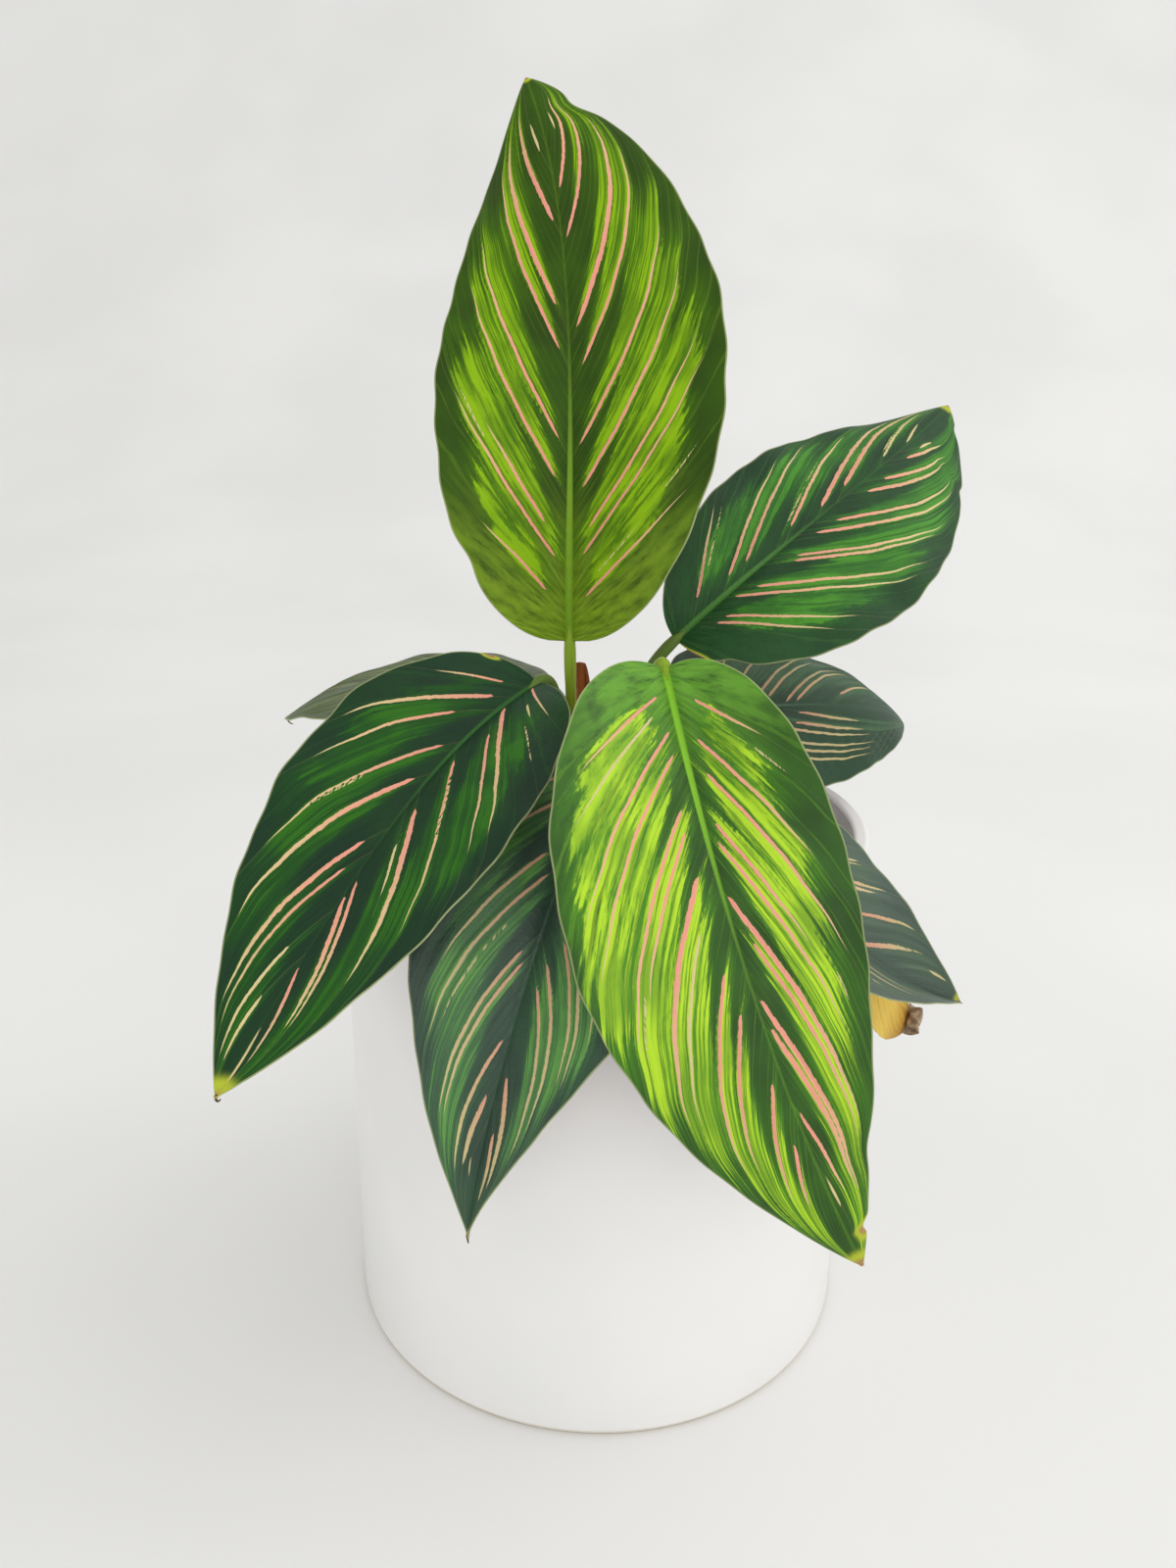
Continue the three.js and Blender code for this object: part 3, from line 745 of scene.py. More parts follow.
def leaf_layers(name, s, u, half_width):
    """What the materials read from a blade: pairs of values at the faces' corners, and face values."""
    middle = len(u) // 2
    halves = []
    for side, chosen in enumerate((u[:middle + 1], u[middle:])):
        width = np.broadcast_to(outline(LEAVES[name], s)[side][:, None], (len(s), middle + 1))
        halves.append(stripe_fields(name, side, s, np.abs(chosen), width))
    fields = {key: np.concatenate([half[key] for half in halves], 1) for key in halves[0]}
    along = np.broadcast_to(s[:, None], half_width.shape)
    across = np.broadcast_to(u, half_width.shape)
    worn = worn_share(name, s, u, half_width)
    layers = {
        "blade": corner_pairs(along, across),
        "span": corner_pairs(across * half_width, (1 - np.abs(across)) * half_width),
        "vein": np.stack([fields["vein"], fields["out"]], -1),
        "stripe": np.stack([fields["off"], fields["along"]], -1),
        "zone": np.stack([fields["depth"], fields["near"]], -1),
        "worn": corner_pairs(worn, worn),
    }
    return layers, {key: fields[key] for key in ("stripe_width", "stripe_pale", "stripe_broken")}


def build_blade(name, materials):
    """A patterned blade: upper side, underside, margin and, on some leaves, a dry tip."""
    leaf = LEAVES[name]
    s, u = spaced(LEAF_ROWS, ROW_EVENNESS), blade_columns()
    upper, lower, half_width = leaf_points(name, leaf, s, u)
    points, sheets = closed_sheet(upper, lower)
    faces = np.concatenate(sheets).tolist()
    slots = np.repeat([0, 1, MARGIN_SLOT], [len(sheet) for sheet in sheets])
    if name in HOOKS:
        more, hook_faces = tip_hook(leaf, *HOOKS[name])
        faces += [[v + len(points) for v in face] for face in hook_faces]
        points = np.concatenate([points, more])
        slots = np.concatenate([slots, np.full(len(hook_faces), HOOK_SLOT)])
    made = make_object("leaf_" + name, points, faces, materials, slots != MARGIN_SLOT, slots)
    layers, values = leaf_layers(name, s, u, half_width)
    add_sheet_pairs(made.data, layers)
    for key, numbers in values.items():
        add_sheet_values(made.data, key, numbers)
    return made


def linear(code):
    """A hex colour as linear numbers with an alpha of 1."""
    parts = [int(code[k:k + 2], 16) / 255 for k in (1, 3, 5)]
    return [x / 12.92 if x <= 0.04045 else ((x + 0.055) / 1.055) ** 2.4 for x in parts] + [1.0]


class Shader:
    """A material's node tree, with short calls for the nodes that the looks use."""

    def __init__(self, name, roughness=0.5, specular=0.2):
        self.material = bpy.data.materials.new(name)
        self.material.use_nodes = True
        self.tree = self.material.node_tree
        self.surface = self.tree.nodes["Principled BSDF"]
        self.surface.inputs["Roughness"].default_value = roughness
        self.surface.inputs["Specular IOR Level"].default_value = specular

    def node(self, kind, **settings):
        made = self.tree.nodes.new(kind)
        for key, value in settings.items():
            setattr(made, key, value)
        return made

    def feed(self, socket, value):
        if isinstance(value, bpy.types.NodeSocket):
            self.tree.links.new(value, socket)
        elif isinstance(value, str):
            socket.default_value = linear(value)
        else:
            socket.default_value = value

    def made(self, kind, values, **settings):
        """The first output of a new node whose first inputs are fed with values."""
        node = self.node(kind, **settings)
        for socket, value in zip(node.inputs, values):
            self.feed(socket, value)
        return node.outputs[0]

    def set(self, name, value):
        self.feed(self.surface.inputs[name], value)

    def pair(self, layer):
        """The two numbers of a corner layer."""
        made = self.node("ShaderNodeUVMap", uv_map=layer)
        split = self.node("ShaderNodeSeparateXYZ")
        self.tree.links.new(made.outputs["UV"], split.inputs[0])
        return split.outputs[0], split.outputs[1]

    def value(self, attribute):
        return self.node("ShaderNodeAttribute", attribute_name=attribute).outputs["Fac"]

    def place(self):
        """The point in the object's own metres."""
        return self.node("ShaderNodeTexCoord").outputs["Object"]

    def math(self, operation, *values):
        return self.made("ShaderNodeMath", values, operation=operation)

    def times(self, first, second):
        return self.math("MULTIPLY", first, second)

    def less(self, first, second):
        return self.math("SUBTRACT", first, second)

    def total(self, value, *terms):
        """A value plus terms, each of which is another value and its scale."""
        for added, scale in terms:
            value = self.math("MULTIPLY_ADD", added, scale, value)
        return value

    def step(self, value, low, high, bottom=0.0, top=1.0):
        """A smooth step from bottom at low to top at high."""
        bounds = (high, low, top, bottom) if low > high else (low, high, bottom, top)
        return self.made("ShaderNodeMapRange", (value, *bounds), interpolation_type="SMOOTHSTEP")

    def noise(self, vector, scale, detail=2.0, roughness=0.5):
        made = self.node("ShaderNodeTexNoise")
        values = dict(Vector=vector, Scale=scale, Detail=detail, Roughness=roughness)
        for key, value in values.items():
            self.feed(made.inputs[key], value)
        return made.outputs["Fac"]

    def grain(self, first, second, seed, detail=2.0, roughness=0.5):
        """Noise over two values, each of which comes with its scale."""
        flow = self.made("ShaderNodeCombineXYZ", (self.times(*first), self.times(*second), seed))
        return self.noise(flow, 1.0, detail, roughness)

    def mix(self, share, first, second):
        made = self.node("ShaderNodeMix", data_type="RGBA")
        for key, value in {"Factor": share, 6: first, 7: second}.items():
            self.feed(made.inputs[key], value)
        return made.outputs[2]

    def bump(self, height, distance, strength=1.0):
        made = self.node("ShaderNodeBump")
        for key, value in dict(Height=height, Distance=distance, Strength=strength).items():
            self.feed(made.inputs[key], value)
        self.tree.links.new(made.outputs[0], self.surface.inputs["Normal"])


def ridges(shader, value, spacing, half_width, wobble):
    """1 on thin lines that repeat along a value, 0 between them."""
    moved = shader.math("ADD", value, wobble)
    away = shader.math("PINGPONG", moved, spacing / 2)
    return shader.step(away, half_width * 1.6, half_width * 0.6)


def leaf_grain(shader, seed):
    """Noise about 0: streaks along the veins, broad ones, blotches and fine speckles."""
    vein, out = shader.pair("vein")
    s, _ = shader.pair("blade")
    across, _ = shader.pair("span")
    streak = shader.grain((vein, 1 / 1.1), (out, 1 / 7), seed, 3.0, 0.6)
    broad = shader.grain((vein, 1 / 2.2), (out, 1 / 22), seed + 5)
    blotch = shader.grain((s, 9.0), (across, 1 / 14), seed)
    speckle = shader.grain((vein, 1 / 0.55), (out, 1 / 1.5), seed + 7, 3.0, 0.7)
    return [shader.less(noise, 0.5) for noise in (streak, broad, blotch, speckle)]


def ground_colour(shader, look, grain, s):
    """The dark ground, in another colour by the blade's base; where that colour is bright it is partly the
    leaf's own colour and partly painted light shining through the blade.
    """
    streak, broad, blotch, _ = grain
    ground = shader.mix(shader.step(blotch, -0.2, 0.2, 0.0, 0.25), look["dark"], look["mid"])
    base = shader.mix(shader.step(streak, -0.35, 0.15), look["dark"], look["base"])
    # Near the base: the leaf's own colour, with painted light shining through the blade on the brighter
    # leaves
    near_base = shader.step(shader.total(s, (broad, 0.22)), look["reach"], 0.02, 0.0, 0.85)
    return shader.mix(near_base, ground, base)


def with_zones(shader, look, grain, ground):
    """The ground with bright feathered zones, and how bright each point is."""
    streak, broad, blotch, speckle = grain
    depth, near = shader.pair("zone")
    edge = shader.total(depth, (streak, 10.0), (broad, 8.0), (speckle, 6.0))
    halo = shader.step(shader.total(edge, (blotch, 6.0)), -5.0, 2.5)
    patches = shader.step(shader.total(blotch, (broad, 0.8)), -0.16, 0.14, look["even"], 1.0)
    bright = shader.times(shader.times(shader.step(edge, -0.8, 1.4), look["zone"]), patches)
    within = shader.total(broad, (streak, 1.1), (near, 0.35), (speckle, 0.7))
    lit = shader.mix(shader.step(within, -0.02, 0.38), look["mid"], look["lime"])
    colour = shader.mix(shader.times(halo, 0.75), ground, look["mid"])
    return shader.mix(bright, colour, lit), bright


def with_rib(shader, look, s, colour):
    """The midrib, clearer and wider by the base, and the pale margin."""
    across, to_margin = shader.pair("span")
    half_width = shader.step(s, 0.0, 0.6, look["rib_width"], 0.2)
    from_rib = shader.less(shader.math("ABSOLUTE", across), half_width)
    rib = shader.times(shader.step(from_rib, 0.35, -0.25), shader.step(s, 0.2, 0.55, 1.0, 0.2))
    colour = shader.mix(rib, colour, look["rib"])
    return shader.mix(shader.times(shader.step(to_margin, 0.5, 0.22), 0.55), colour, MARGIN_COLOUR)


def with_wear(shader, streak, colour):
    """Yellowed places, scorched at their middle."""
    worn, _ = shader.pair("worn")
    tired = shader.total(worn, (streak, 0.5))
    colour = shader.mix(shader.step(tired, 0.15, 0.45), colour, YELLOWED)
    return shader.mix(shader.step(tired, 0.55, 0.72), colour, SCORCHED)


def upper_material(name, seed):
    """A blade's upper side: dark ground, bright feathered zones, stripes, veins, midrib and margin."""
    look = LOOKS[name]
    shader = Shader("upper_" + name, 0.42, look["gloss"])
    s, _ = shader.pair("blade")
    vein, _ = shader.pair("vein")
    grain = leaf_grain(shader, seed)
    streak = grain[0]
    colour, bright = with_zones(shader, look, grain, ground_colour(shader, look, grain, s))
    wobble = shader.times(streak, 2.0)
    fine = ridges(shader, vein, FINE_VEINS, 0.2, wobble)
    dark_lines = shader.times(ridges(shader, vein, DARK_VEINS, 0.3, wobble), bright)
    colour = shader.mix(shader.times(fine, 0.16), colour, look["rib"])
    colour = shader.mix(shader.times(dark_lines, 0.6), colour, look["dark"])
    mask, paint = stripe_paint(shader, seed, look["faded"])
    colour = shader.mix(shader.times(mask, look["marked"]), colour, paint)
    colour = with_rib(shader, look, s, colour)
    shader.set("Base Color", with_wear(shader, streak, colour))
    shader.set("Roughness", shader.step(streak, -0.3, 0.3, 0.36, 0.5))
    surface_grain = shader.noise(shader.place(), 900.0, 2.0)
    shader.bump(shader.total(surface_grain, (fine, 0.5), (dark_lines, -0.8)), 0.0002, 0.6)
    return shader.material


def stripe_paint(shader, seed, faded):
    """Where the stripes are, and their colour: pink from the midrib outwards, then cream."""
    off, along = shader.pair("stripe")
    width, pale, broken = (shader.value("stripe_" + key) for key in ("width", "pale", "broken"))
    rough = shader.less(shader.grain((off, 0.55), (along, 26.0), seed + 9, 3.0, 0.7), 0.5)
    taper = shader.times(shader.step(along, -0.02, 0.05), shader.step(along, 1.01, 0.5, 0.0, 1.0))
    reach = shader.times(width, shader.math("POWER", taper, 0.45))
    uneven_reach = shader.times(reach, shader.math("MULTIPLY_ADD", rough, -1.5, 1.0))
    mask = shader.step(shader.less(uneven_reach, shader.math("ABSOLUTE", off)), -0.05, 0.08)
    gaps = shader.step(shader.grain((along, 17.0), (pale, 1.0), seed, 1.0), 0.45, 0.53)
    mask = shader.times(mask, shader.math("MAXIMUM", gaps, shader.less(1.0, broken)))
    towards = shader.total(shader.math("ADD", pale, faded), (along, 0.75), (rough, 0.5))
    return mask, shader.mix(shader.step(towards, 0.15, 1.0), PINK, CREAM)


def underside_material(name, seed):
    """A burgundy underside with paler veins and a green keel."""
    shader = Shader("under_" + name, 0.5)
    across, to_margin = shader.pair("span")
    vein, out = shader.pair("vein")
    streak = shader.grain((vein, 1 / 2), (out, 1 / 9), seed, 3.0, 0.6)
    fine = ridges(shader, vein, UNDER_VEINS, 0.2, shader.times(streak, 2.0))
    colour = shader.mix(shader.step(streak, 0.3, 0.7), "#4a1526", "#6e2438")
    colour = shader.mix(shader.times(fine, 0.35), colour, "#8d5a55")
    keel = shader.step(shader.math("ABSOLUTE", across), 2.2, 0.9)
    colour = shader.mix(keel, colour, "#7f8a3d")
    line = shader.step(to_margin, 1.2, 0.3)
    shader.set("Base Color", shader.mix(shader.times(line, 0.7), colour, "#7f8456"))
    shader.bump(shader.total(streak, (fine, 0.8)), 0.0003, 0.6)
    return shader.material


def mottled_material(name, roughness, scale, colours, contrast=0.15, detail=2.0, bump=0):
    """A plain material with soft mottling between two colours, and a bump of so many metres."""
    shader = Shader(name, roughness)
    mottle = shader.noise(shader.place(), scale, detail)
    shader.set("Base Color", shader.mix(shader.step(mottle, 0.5 - contrast, 0.5 + contrast), *colours))
    if bump:
        shader.bump(mottle, bump, 0.6)
    return shader.material


def build_leaves():
    margin = mottled_material("leaf_margin", 0.5, 220.0, ("#96a06a", "#bcc290"))
    dry_tip = mottled_material("dry_tip", 0.7, 900.0, ("#4a3320", "#8a6238"))
    for seed, name in enumerate(LOOKS):
        upper, under = upper_material(name, seed * 3.1), underside_material(name, seed * 2.3)
        made = build_blade(name, (upper, under, margin, dry_tip))
        finish_piece(made, ["blade_" + name])


def withered_material():
    """A dry leaf: yellow towards the base and brown towards the tip, with pale parallel lines."""
    shader = Shader("withered_leaf", 0.6)
    vein, out = shader.pair("vein")
    s, _ = shader.pair("blade")
    streak = shader.grain((vein, 0.7), (out, 0.12), 3.0, 3.0, 0.6)
    aged = shader.total(s, (streak, 0.4))
    lines = ridges(shader, vein, DRY_VEINS, 0.22, streak)
    colour = shader.mix(shader.step(aged, 0.85, 1.2), "#f4cf58", "#bd8026")
    colour = shader.mix(shader.step(aged, 1.12, 1.3), colour, "#7a6450")
    shader.set("Base Color", shader.mix(shader.times(lines, 0.5), colour, "#e8cf7c"))
    shader.bump(shader.total(streak, (lines, 0.7)), 0.0005, 0.8)
    return shader.material


def sheath_material():
    """Brown papery fibres that run lengthwise."""
    shader = Shader("dry_sheath", 0.75)
    _, across = shader.pair("vein")
    s, _ = shader.pair("blade")
    fibres = shader.grain((across, 1.6), (s, 4.0), 1.0, 3.0)
    shader.set("Base Color", shader.mix(shader.step(fibres, 0.3, 0.7), "#5a3113", "#b0622a"))
    shader.bump(fibres, 0.0008, 0.8)
    return shader.material


def build_dry_sheet(name, key, leaf, rows, material):
    """A dry leaf or sheath: a thin waved sheet with vein coordinates."""
    s, u = spaced(rows, ROW_EVENNESS), blade_columns()[::2]
    upper, lower, half_width = leaf_points(key, leaf, s, u)
    points, sheets = closed_sheet(upper, lower)
    faces = np.concatenate(sheets)
    smooth_faces = np.arange(len(faces)) < 2 * len(sheets[0])
    made = make_object(name, points, faces, [material], smooth_faces)
    vein = vein_start(s[:, None], np.abs(u)[None], VEIN_SWEEP[key][0]) * leaf["length"]
    along, across = (np.broadcast_to(grid, vein.shape) for grid in (s[:, None], u))
    layers = {"vein": corner_pairs(vein, u[None] * half_width), "blade": corner_pairs(along, across)}
    add_sheet_pairs(made.data, layers)
    return made


def build_withered_leaf():
    leaf = LEAVES["withered"]
    made = build_dry_sheet("leaf_withered", "withered", leaf, WITHERED_ROWS, withered_material())
    finish_piece(made, ["blade_withered"])


def build_dry_curl():
    """The withered leaf's tip: a papery strip rolled up into a small open curl."""
    place, forward, right, up = midrib_frames(LEAVES["withered"])[-1]
    t = np.linspace(0, 1, CURL_ROWS)[:, None, None]
    across = np.linspace(-0.5, 0.5, CURL_COLUMNS)[None, :, None]
    angle = t * CURL_TURNS * TURN
    away = forward * np.sin(angle) - up * np.cos(angle)
    ragged = CURL_RAGGED * np.sin(23 * t + 9 * across) * np.sin(math.pi * t)
    middle = place - forward * CURL_OVERLAP + up * CURL_RADII[0]
    outer = middle + away * (mix(CURL_RADII, t) + ragged) + right * across * mix(CURL_WIDTHS, t)
    points, sheets = closed_sheet(outer, outer - away * CURL_SHEET)
    colours = ("#7c6650", "#b7a084")
    material = mottled_material("papery_curl", 0.7, 420.0, colours, detail=3.0, bump=0.0005)
    made = make_object("withered_curl", points, np.concatenate(sheets), [material])
    finish_piece(made, ["blade_withered"])


def build_dry_sheath():
    made = build_dry_sheet("sheath_strip", "sheath", DRY_SHEATH, SHEATH_ROWS, sheath_material())
    finish_piece(made, ["sheath_dry"])


def stem_line(leaf):
    """The stem's middle line, up out of its hole and in one bend to the midrib, and the share of its
    length at each point."""
    forward = midrib_frames(leaf)[0][1]
    end = np.array(leaf["base"], float) - forward * GAP
    x, y = leaf["foot"]
    surface = np.array([x, y, SOIL_TOP + SOIL_MOUND + STEM_CLEAR])
    rise = np.array([0, 0, np.linalg.norm(surface - end) * STEM_RISE])
    handles = [surface, surface + rise, end - forward * leaf["knee"], end]
    t = 1 - (1 - np.linspace(0, 1, STEM_STEPS + 1)) ** 1.3
    shares = np.stack([(1 - t) ** 3, 3 * t * (1 - t) ** 2, 3 * t ** 2 * (1 - t), t ** 3], -1)
    line = shares @ np.array(handles)
    bottom = np.array([[x, y, SOIL_TOP - HOLE_DEPTH + GAP]])
    return np.concatenate([bottom, line]), np.concatenate([[0.0], t])


def with_joint(leaf, line, t):
    """The stem's line, carried on a little below the blade's base, where it narrows into the keel."""
    place, forward, _, up = midrib_frames(leaf)[0]
    steps = np.linspace(0, 1, JOINT_STEPS)[:, None]
    more = place + forward * steps * JOINT_LENGTH - up * (0.2 + steps * 0.5)
    return np.concatenate([line, more]), np.concatenate([t, 1 + JOINT_SHARE * steps[:, 0]])


def tube(line, radii, sides, ridge=0.0):
    """Points and faces of a closed tube along a line. ridge is the height of its lengthwise ridges."""
    ways = unit(np.gradient(line, axis=0))
    side = unit(np.cross(ways[0], [0.3, 1.0, 0.1]))
    angle = TURN * np.arange(sides) / sides
    cosine, sine = np.cos(angle)[:, None], np.sin(angle)[:, None]
    rings = []
    for place, way, radius in zip(line, ways, radii):
        side = unit(side - way * np.dot(side, way))
        other = np.cross(way, side)
        reach = radius * (1 + ridge * np.cos(angle * 5))
        rings.append(place + reach[:, None] * (cosine * side + sine * other))
    last = (len(line) - 1) * sides
    faces = ring_quads(len(line), sides)
    faces.append(tuple(range(sides))[::-1])
    faces.append(tuple(range(last, last + sides)))
    return np.concatenate(rings), faces


def stem_material(name, low, high, flush):
    """A satin stem: streaked, darker and redder at the foot, greener at the swollen top."""
    shader = Shader("stem_" + name, 0.4)
    along, around = shader.pair("stalk")
    share, _ = shader.pair("length")
    streak = shader.grain((around, 6.0), (along, 0.06), 2.0, 3.0, 0.6)
    colour = shader.mix(shader.step(share, 0.55, 0.95), low, high)
    colour = shader.mix(shader.times(shader.step(streak, 0.5, 0.72), 0.8), colour, flush)
    foot = shader.times(shader.step(share, 0.3, 0.0), 0.6)
    shader.set("Base Color", shader.mix(foot, colour, STEM_FOOT_COLOUR))
    shader.bump(streak, 0.0004, 0.5)
    return shader.material


def build_stem(name, leaf, material):
    line, t = stem_line(leaf)
    line, t = with_joint(leaf, line, t)
    radii = mix((STEM_FOOT_RADIUS, STEM_TOP_RADIUS), np.minimum(t / SHEATH_SHARE, 1))
    radii = radii * mix((1, JOINT_END), smooth(t, 1.0, 1 + JOINT_SHARE))
    radii = radii * (1 + SWELL * smooth(t, 0.84, 0.92) * smooth(-t, -1.0, -0.97))
    points, faces = tube(line, radii, STEM_SIDES, STEM_RIDGE)
    made = make_object("stalk_" + name, points, faces, [material])
    lengths = np.concatenate([[0], np.cumsum(np.linalg.norm(np.diff(line, axis=0), axis=1))])
    ring, side = np.divmod(np.arange(len(points)), STEM_SIDES)
    corner = np.array([v for face in faces for v in face])
    around = np.abs(side / STEM_SIDES * 2 - 1)
    for layer, values in {"stalk": lengths, "length": t}.items():
        add_corner_pairs(made.data, layer, np.stack([values[ring], around], -1)[corner])
    finish_piece(made, ["stem_" + name])


def build_stems():
    olive = stem_material("olive", "#77831c", "#86a52a", "#8d6a2e")
    dark = stem_material("dark", "#56652a", "#5f7a30", "#4a3032")
    dry = stem_material("dry", "#b08a3a", "#c79a3a", "#7a5424")
    special = {"top": olive, "front": olive, "withered": dry}
    for name, leaf in LEAVES.items():
        build_stem(name, leaf, special.get(name, dark))


def arc(centre, radius, start, end, steps=6):
    """Points of an arc, with angles in degrees."""
    angles = np.linspace(start, end, steps + 1) * DEG
    return [(centre[0] + radius * math.cos(a), centre[1] + radius * math.sin(a)) for a in angles]


def lathe(name, profile, turns, material):
    """A closed body turned about the vertical axis, from a profile that starts and ends on it."""
    ring = profile[1:-1]
    angles = TURN * np.arange(turns) / turns
    points = [(x * math.cos(a), x * math.sin(a), z) for x, z in ring for a in angles]
    faces = ring_quads(len(ring), turns)
    first, last = len(points), len(points) + 1
    points += [(0, 0, profile[0][1]), (0, 0, profile[-1][1])]
    top = (len(ring) - 1) * turns
    for j in range(turns):
        k = (j + 1) % turns
        faces += [(first, k, j), (last, top + j, top + k)]
    return make_object(name, points, faces, [material])


def glaze_material():
    """Satin white glaze: very slight waves and faint warm mottling, and a warmer, darker band at the foot
    that is partly bare clay and partly painted contact shadow.
    """
    shader = Shader("white_glaze", 0.3, 0.5)
    place = shader.place()
    slow = shader.noise(place, 16.0)
    fine = shader.noise(place, 320.0)
    split = shader.node("ShaderNodeSeparateXYZ")
    shader.feed(split.inputs[0], place)
    # The band at the foot: bare clay, and painted contact shadow where the pot meets the floor
    foot = shader.step(split.outputs[2], 0.0022, 0.0006)
    colour = shader.mix(shader.step(slow, 0.35, 0.65), "#eeeeec", "#f3f2f0")
    shader.set("Base Color", shader.mix(shader.times(foot, 0.8), colour, "#cdbfa6"))
    shader.set("Roughness", shader.step(fine, 0.3, 0.7, 0.3, 0.34))
    shader.bump(slow, 0.0004, 0.2)
    return shader.material


def build_pot():
    inner = POT_RADIUS - POT_WALL
    rim, foot, corner = POT_RIM_ROUND, POT_FOOT_ROUND, POT_FLOOR_CORNER
    profile = [(0, 0), *arc((POT_RADIUS - foot, foot), foot, -90, 0)]
    profile += arc((POT_RADIUS - rim, POT_HEIGHT - rim), rim, 0, 90)
    profile += arc((inner + rim, POT_HEIGHT - rim), rim, 90, 180)
    profile += [(inner, POT_FLOOR + corner), (inner - corner, POT_FLOOR), (0, POT_FLOOR)]
    made = lathe("pot_body", profile, POT_TURNS, glaze_material())
    finish_piece(made, ["pot"])


def soil_height(x, y):
    share = np.hypot(x, y) / SOIL_RADIUS
    a, b, c, d = SOIL_LUMP_SPACINGS
    lumps = np.sin(TURN * x / a) * np.cos(TURN * y / b) + np.sin(TURN * x / d - TURN * y / c)
    return (1 - share * share) * (SOIL_MOUND + lumps * SOIL_LUMP)


def soil_body(random):
    """The soil's bumpy surface, its side inside the pot and its underside."""
    angles = TURN * np.arange(SOIL_TURNS) / SOIL_TURNS
    radii = SOIL_RADIUS * np.linspace(0, 1, SOIL_RINGS + 1)[1:, None]
    x, y = radii * np.cos(angles), radii * np.sin(angles)
    edge = smooth(-radii, -SOIL_RADIUS, -SOIL_RADIUS + SOIL_BUMP_END)
    z = SOIL_TOP + soil_height(x, y) + random.uniform(-SOIL_BUMP, SOIL_BUMP, x.shape) * edge
    centre = (0, 0, SOIL_TOP + soil_height(0, 0))
    low = [(SOIL_RADIUS * math.cos(a), SOIL_RADIUS * math.sin(a), POT_FLOOR + GAP) for a in angles]
    points = [centre, *np.stack([x, y, z], -1).reshape(-1, 3), *low]
    faces = [(0, 1 + j, 1 + (j + 1) % SOIL_TURNS) for j in range(SOIL_TURNS)]
    faces += ring_quads(SOIL_RINGS + 1, SOIL_TURNS, 1, flipped=True)
    faces.append(tuple(range(len(points) - SOIL_TURNS, len(points)))[::-1])
    return points, faces


def crumb(centre, size, turn, stretch):
    """A lumpy bit of soil with eight faces."""
    corners = np.array([(1, 0, 0), (-1, 0, 0), (0, 1, 0), (0, -1, 0), (0, 0, 1), (0, 0, -1)], float)
    corners[:, 0] *= stretch
    angle = np.array([[math.cos(turn), -math.sin(turn), 0], [math.sin(turn), math.cos(turn), 0], [0, 0, 1]])
    faces = [(0, 2, 4), (2, 1, 4), (1, 3, 4), (3, 0, 4), (2, 0, 5), (1, 2, 5), (3, 1, 5), (0, 3, 5)]
    return corners * size @ angle.T + centre, faces


def random_crumb(random):
    """A crumb that lies somewhere on the soil."""
    reach = SOIL_RADIUS * CRUMB_REACH * math.sqrt(random.uniform(0, 1))
    angle = random.uniform(0, TURN)
    x, y = reach * math.cos(angle), reach * math.sin(angle)
    size = random.uniform(*CRUMB_SIZES)
    size = size * np.array([1, random.uniform(*CRUMB_WIDTHS), random.uniform(*CRUMB_HEIGHTS)])
    centre = np.array([x, y, SOIL_TOP + soil_height(x, y) + CRUMB_LIFT * size[2]])
    return crumb(centre, size, random.uniform(0, math.pi), random.uniform(*CRUMB_LENGTHS))


def soil_material():
    """Dark brown crumbs with some paler patches."""
    shader = Shader("potting_soil", 0.92)
    place = shader.place()
    crumbs = shader.noise(place, 260.0, 4.0, 0.65)
    patches = shader.noise(place, 45.0)
    colour = shader.mix(shader.step(crumbs, 0.35, 0.7), "#1d140d", "#4a3524")
    pale = shader.times(shader.step(patches, 0.52, 0.7), 0.5)
    shader.set("Base Color", shader.mix(pale, colour, "#5b4632"))
    shader.bump(crumbs, 0.0015, 0.9)
    return shader.material


def build_soil():
    random = np.random.default_rng(SEED)
    points, faces = soil_body(random)
    body_faces = len(faces)
    for _ in range(CRUMBS):
        corners, sides = random_crumb(random)
        faces += [tuple(len(points) + v for v in side) for side in sides]
        points += list(corners)
    smooth_faces = np.arange(len(faces)) < body_faces
    made = make_object("soil_surface", points, faces, [soil_material()], smooth_faces)
    finish_piece(made, ["soil"])


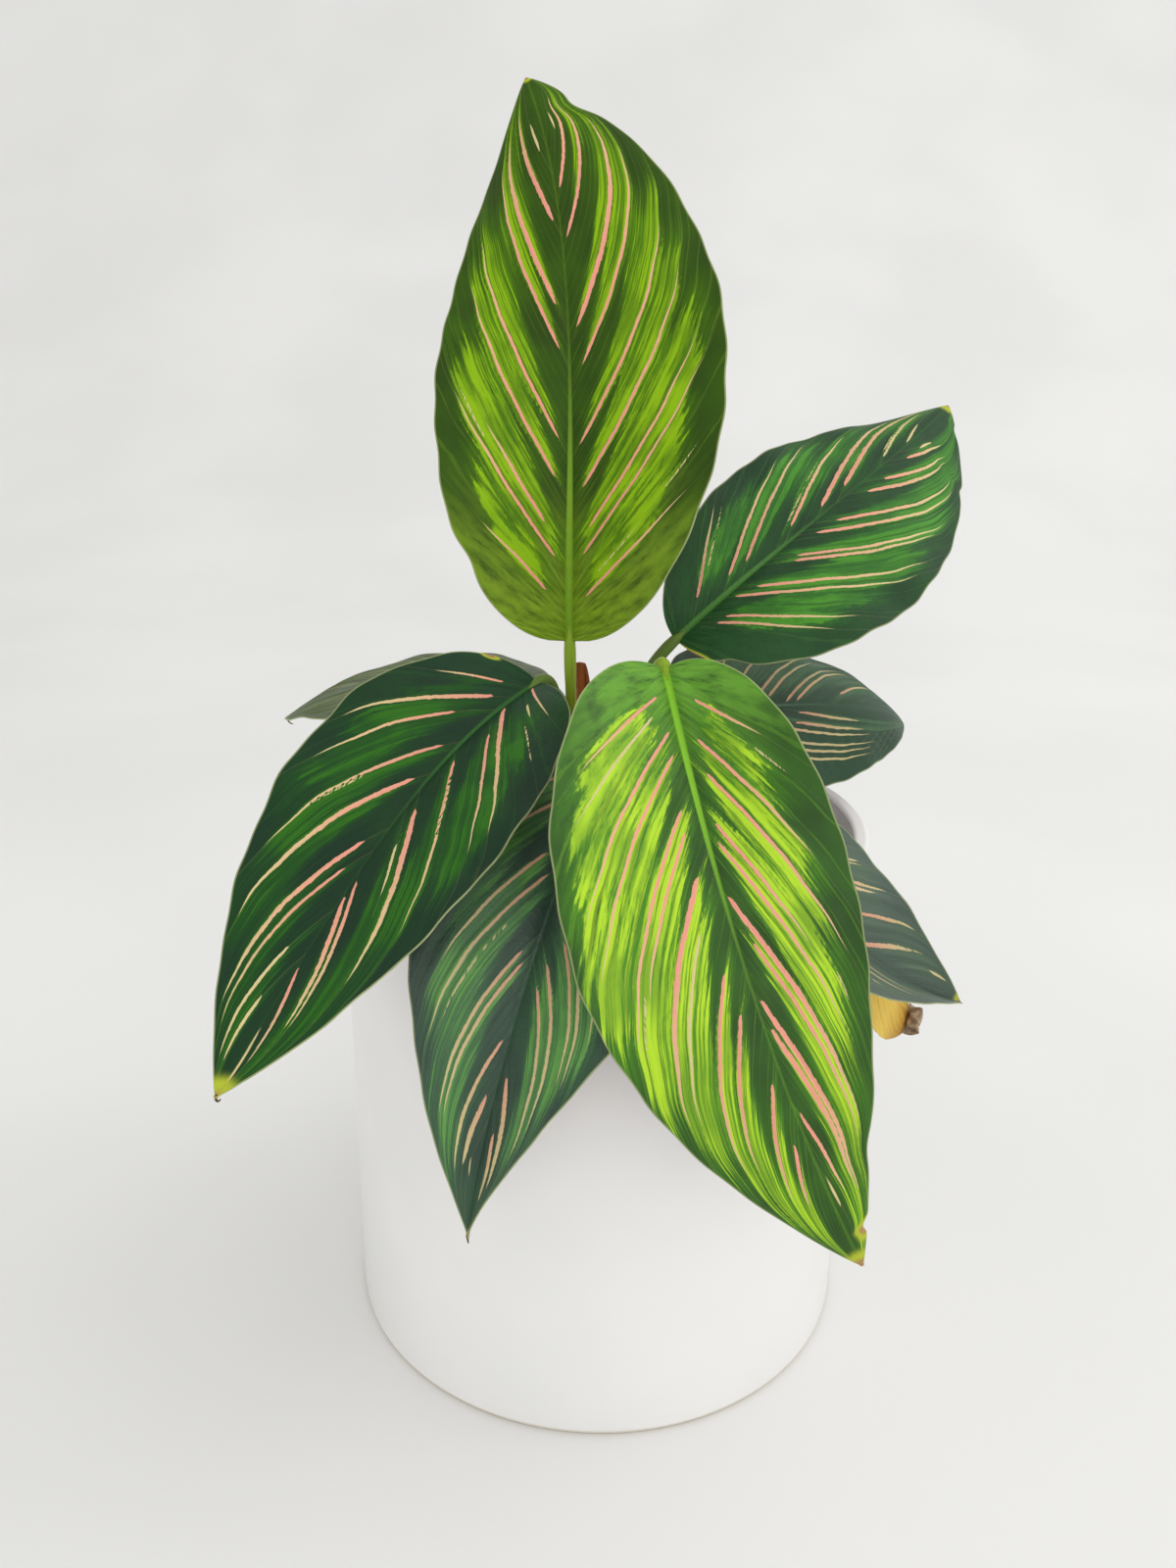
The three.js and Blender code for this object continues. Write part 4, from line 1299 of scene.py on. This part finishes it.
def put(name, data, place, rotation):
    """Puts a camera or a light into the scene."""
    made = bpy.data.objects.new(name, data)
    made.location = place
    made.rotation_mode = "QUATERNION"
    made.rotation_quaternion = rotation
    bpy.context.scene.collection.objects.link(made)
    return made


def build_camera():
    data = bpy.data.cameras.new("camera")
    data.lens = LENS
    data.sensor_width = SENSOR
    data.sensor_fit = "AUTO"
    data.clip_start = NEAREST_SEEN
    yaw, pitch, roll = (x * DEG for x in (CAMERA_YAW, CAMERA_PITCH, CAMERA_ROLL))
    turn = Matrix.Rotation(yaw, 3, "Z") @ Matrix.Rotation(math.pi / 2 - pitch, 3, "X")
    turn = turn @ Matrix.Rotation(roll, 3, "Z")
    bpy.context.scene.camera = put("camera", data, CAMERA_PLACE, turn.to_quaternion())


def build_studio():
    """A pale floor that curves up into a backdrop, and soft light from above and the right."""
    profile = [(PAPER_FRONT, 0), (PAPER_BACK, 0)]
    profile += arc((PAPER_BACK, PAPER_BEND), PAPER_BEND, -90, 0, PAPER_STEPS)[1:]
    profile.append((PAPER_BACK + PAPER_BEND, PAPER_HEIGHT))
    points = [(side * PAPER_HALF_WIDTH, y, z) for y, z in profile for side in (-1, 1)]
    faces = [(2 * i, 2 * i + 1, 2 * i + 3, 2 * i + 2) for i in range(len(profile) - 1)]
    material = mottled_material("pale_paper", 0.7, 3.0, ("#e9e9e8", "#efefee"), contrast=0.2)
    paper = make_object("studio_paper", points, faces, [material])
    world = bpy.data.worlds.new("studio")
    bpy.context.scene.world = world
    world.use_nodes = True
    background = world.node_tree.nodes["Background"]
    background.inputs["Color"].default_value = WORLD_COLOUR
    background.inputs["Strength"].default_value = WORLD_STRENGTH
    for name, settings in LIGHTS.items():
        add_light(name, *settings)


def add_light(name, place, target, size, power):
    data = bpy.data.lights.new(name, "AREA")
    data.energy = power
    data.size = size
    way = Vector(target) - Vector(place)
    put(name, data, place, way.to_track_quat("-Z", "Y"))


build_camera()
build_studio()
build_pot()
build_soil()
build_stems()
build_leaves()
build_withered_leaf()
build_dry_curl()
build_dry_sheath()
bpy.context.scene.view_settings.view_transform = "Standard"
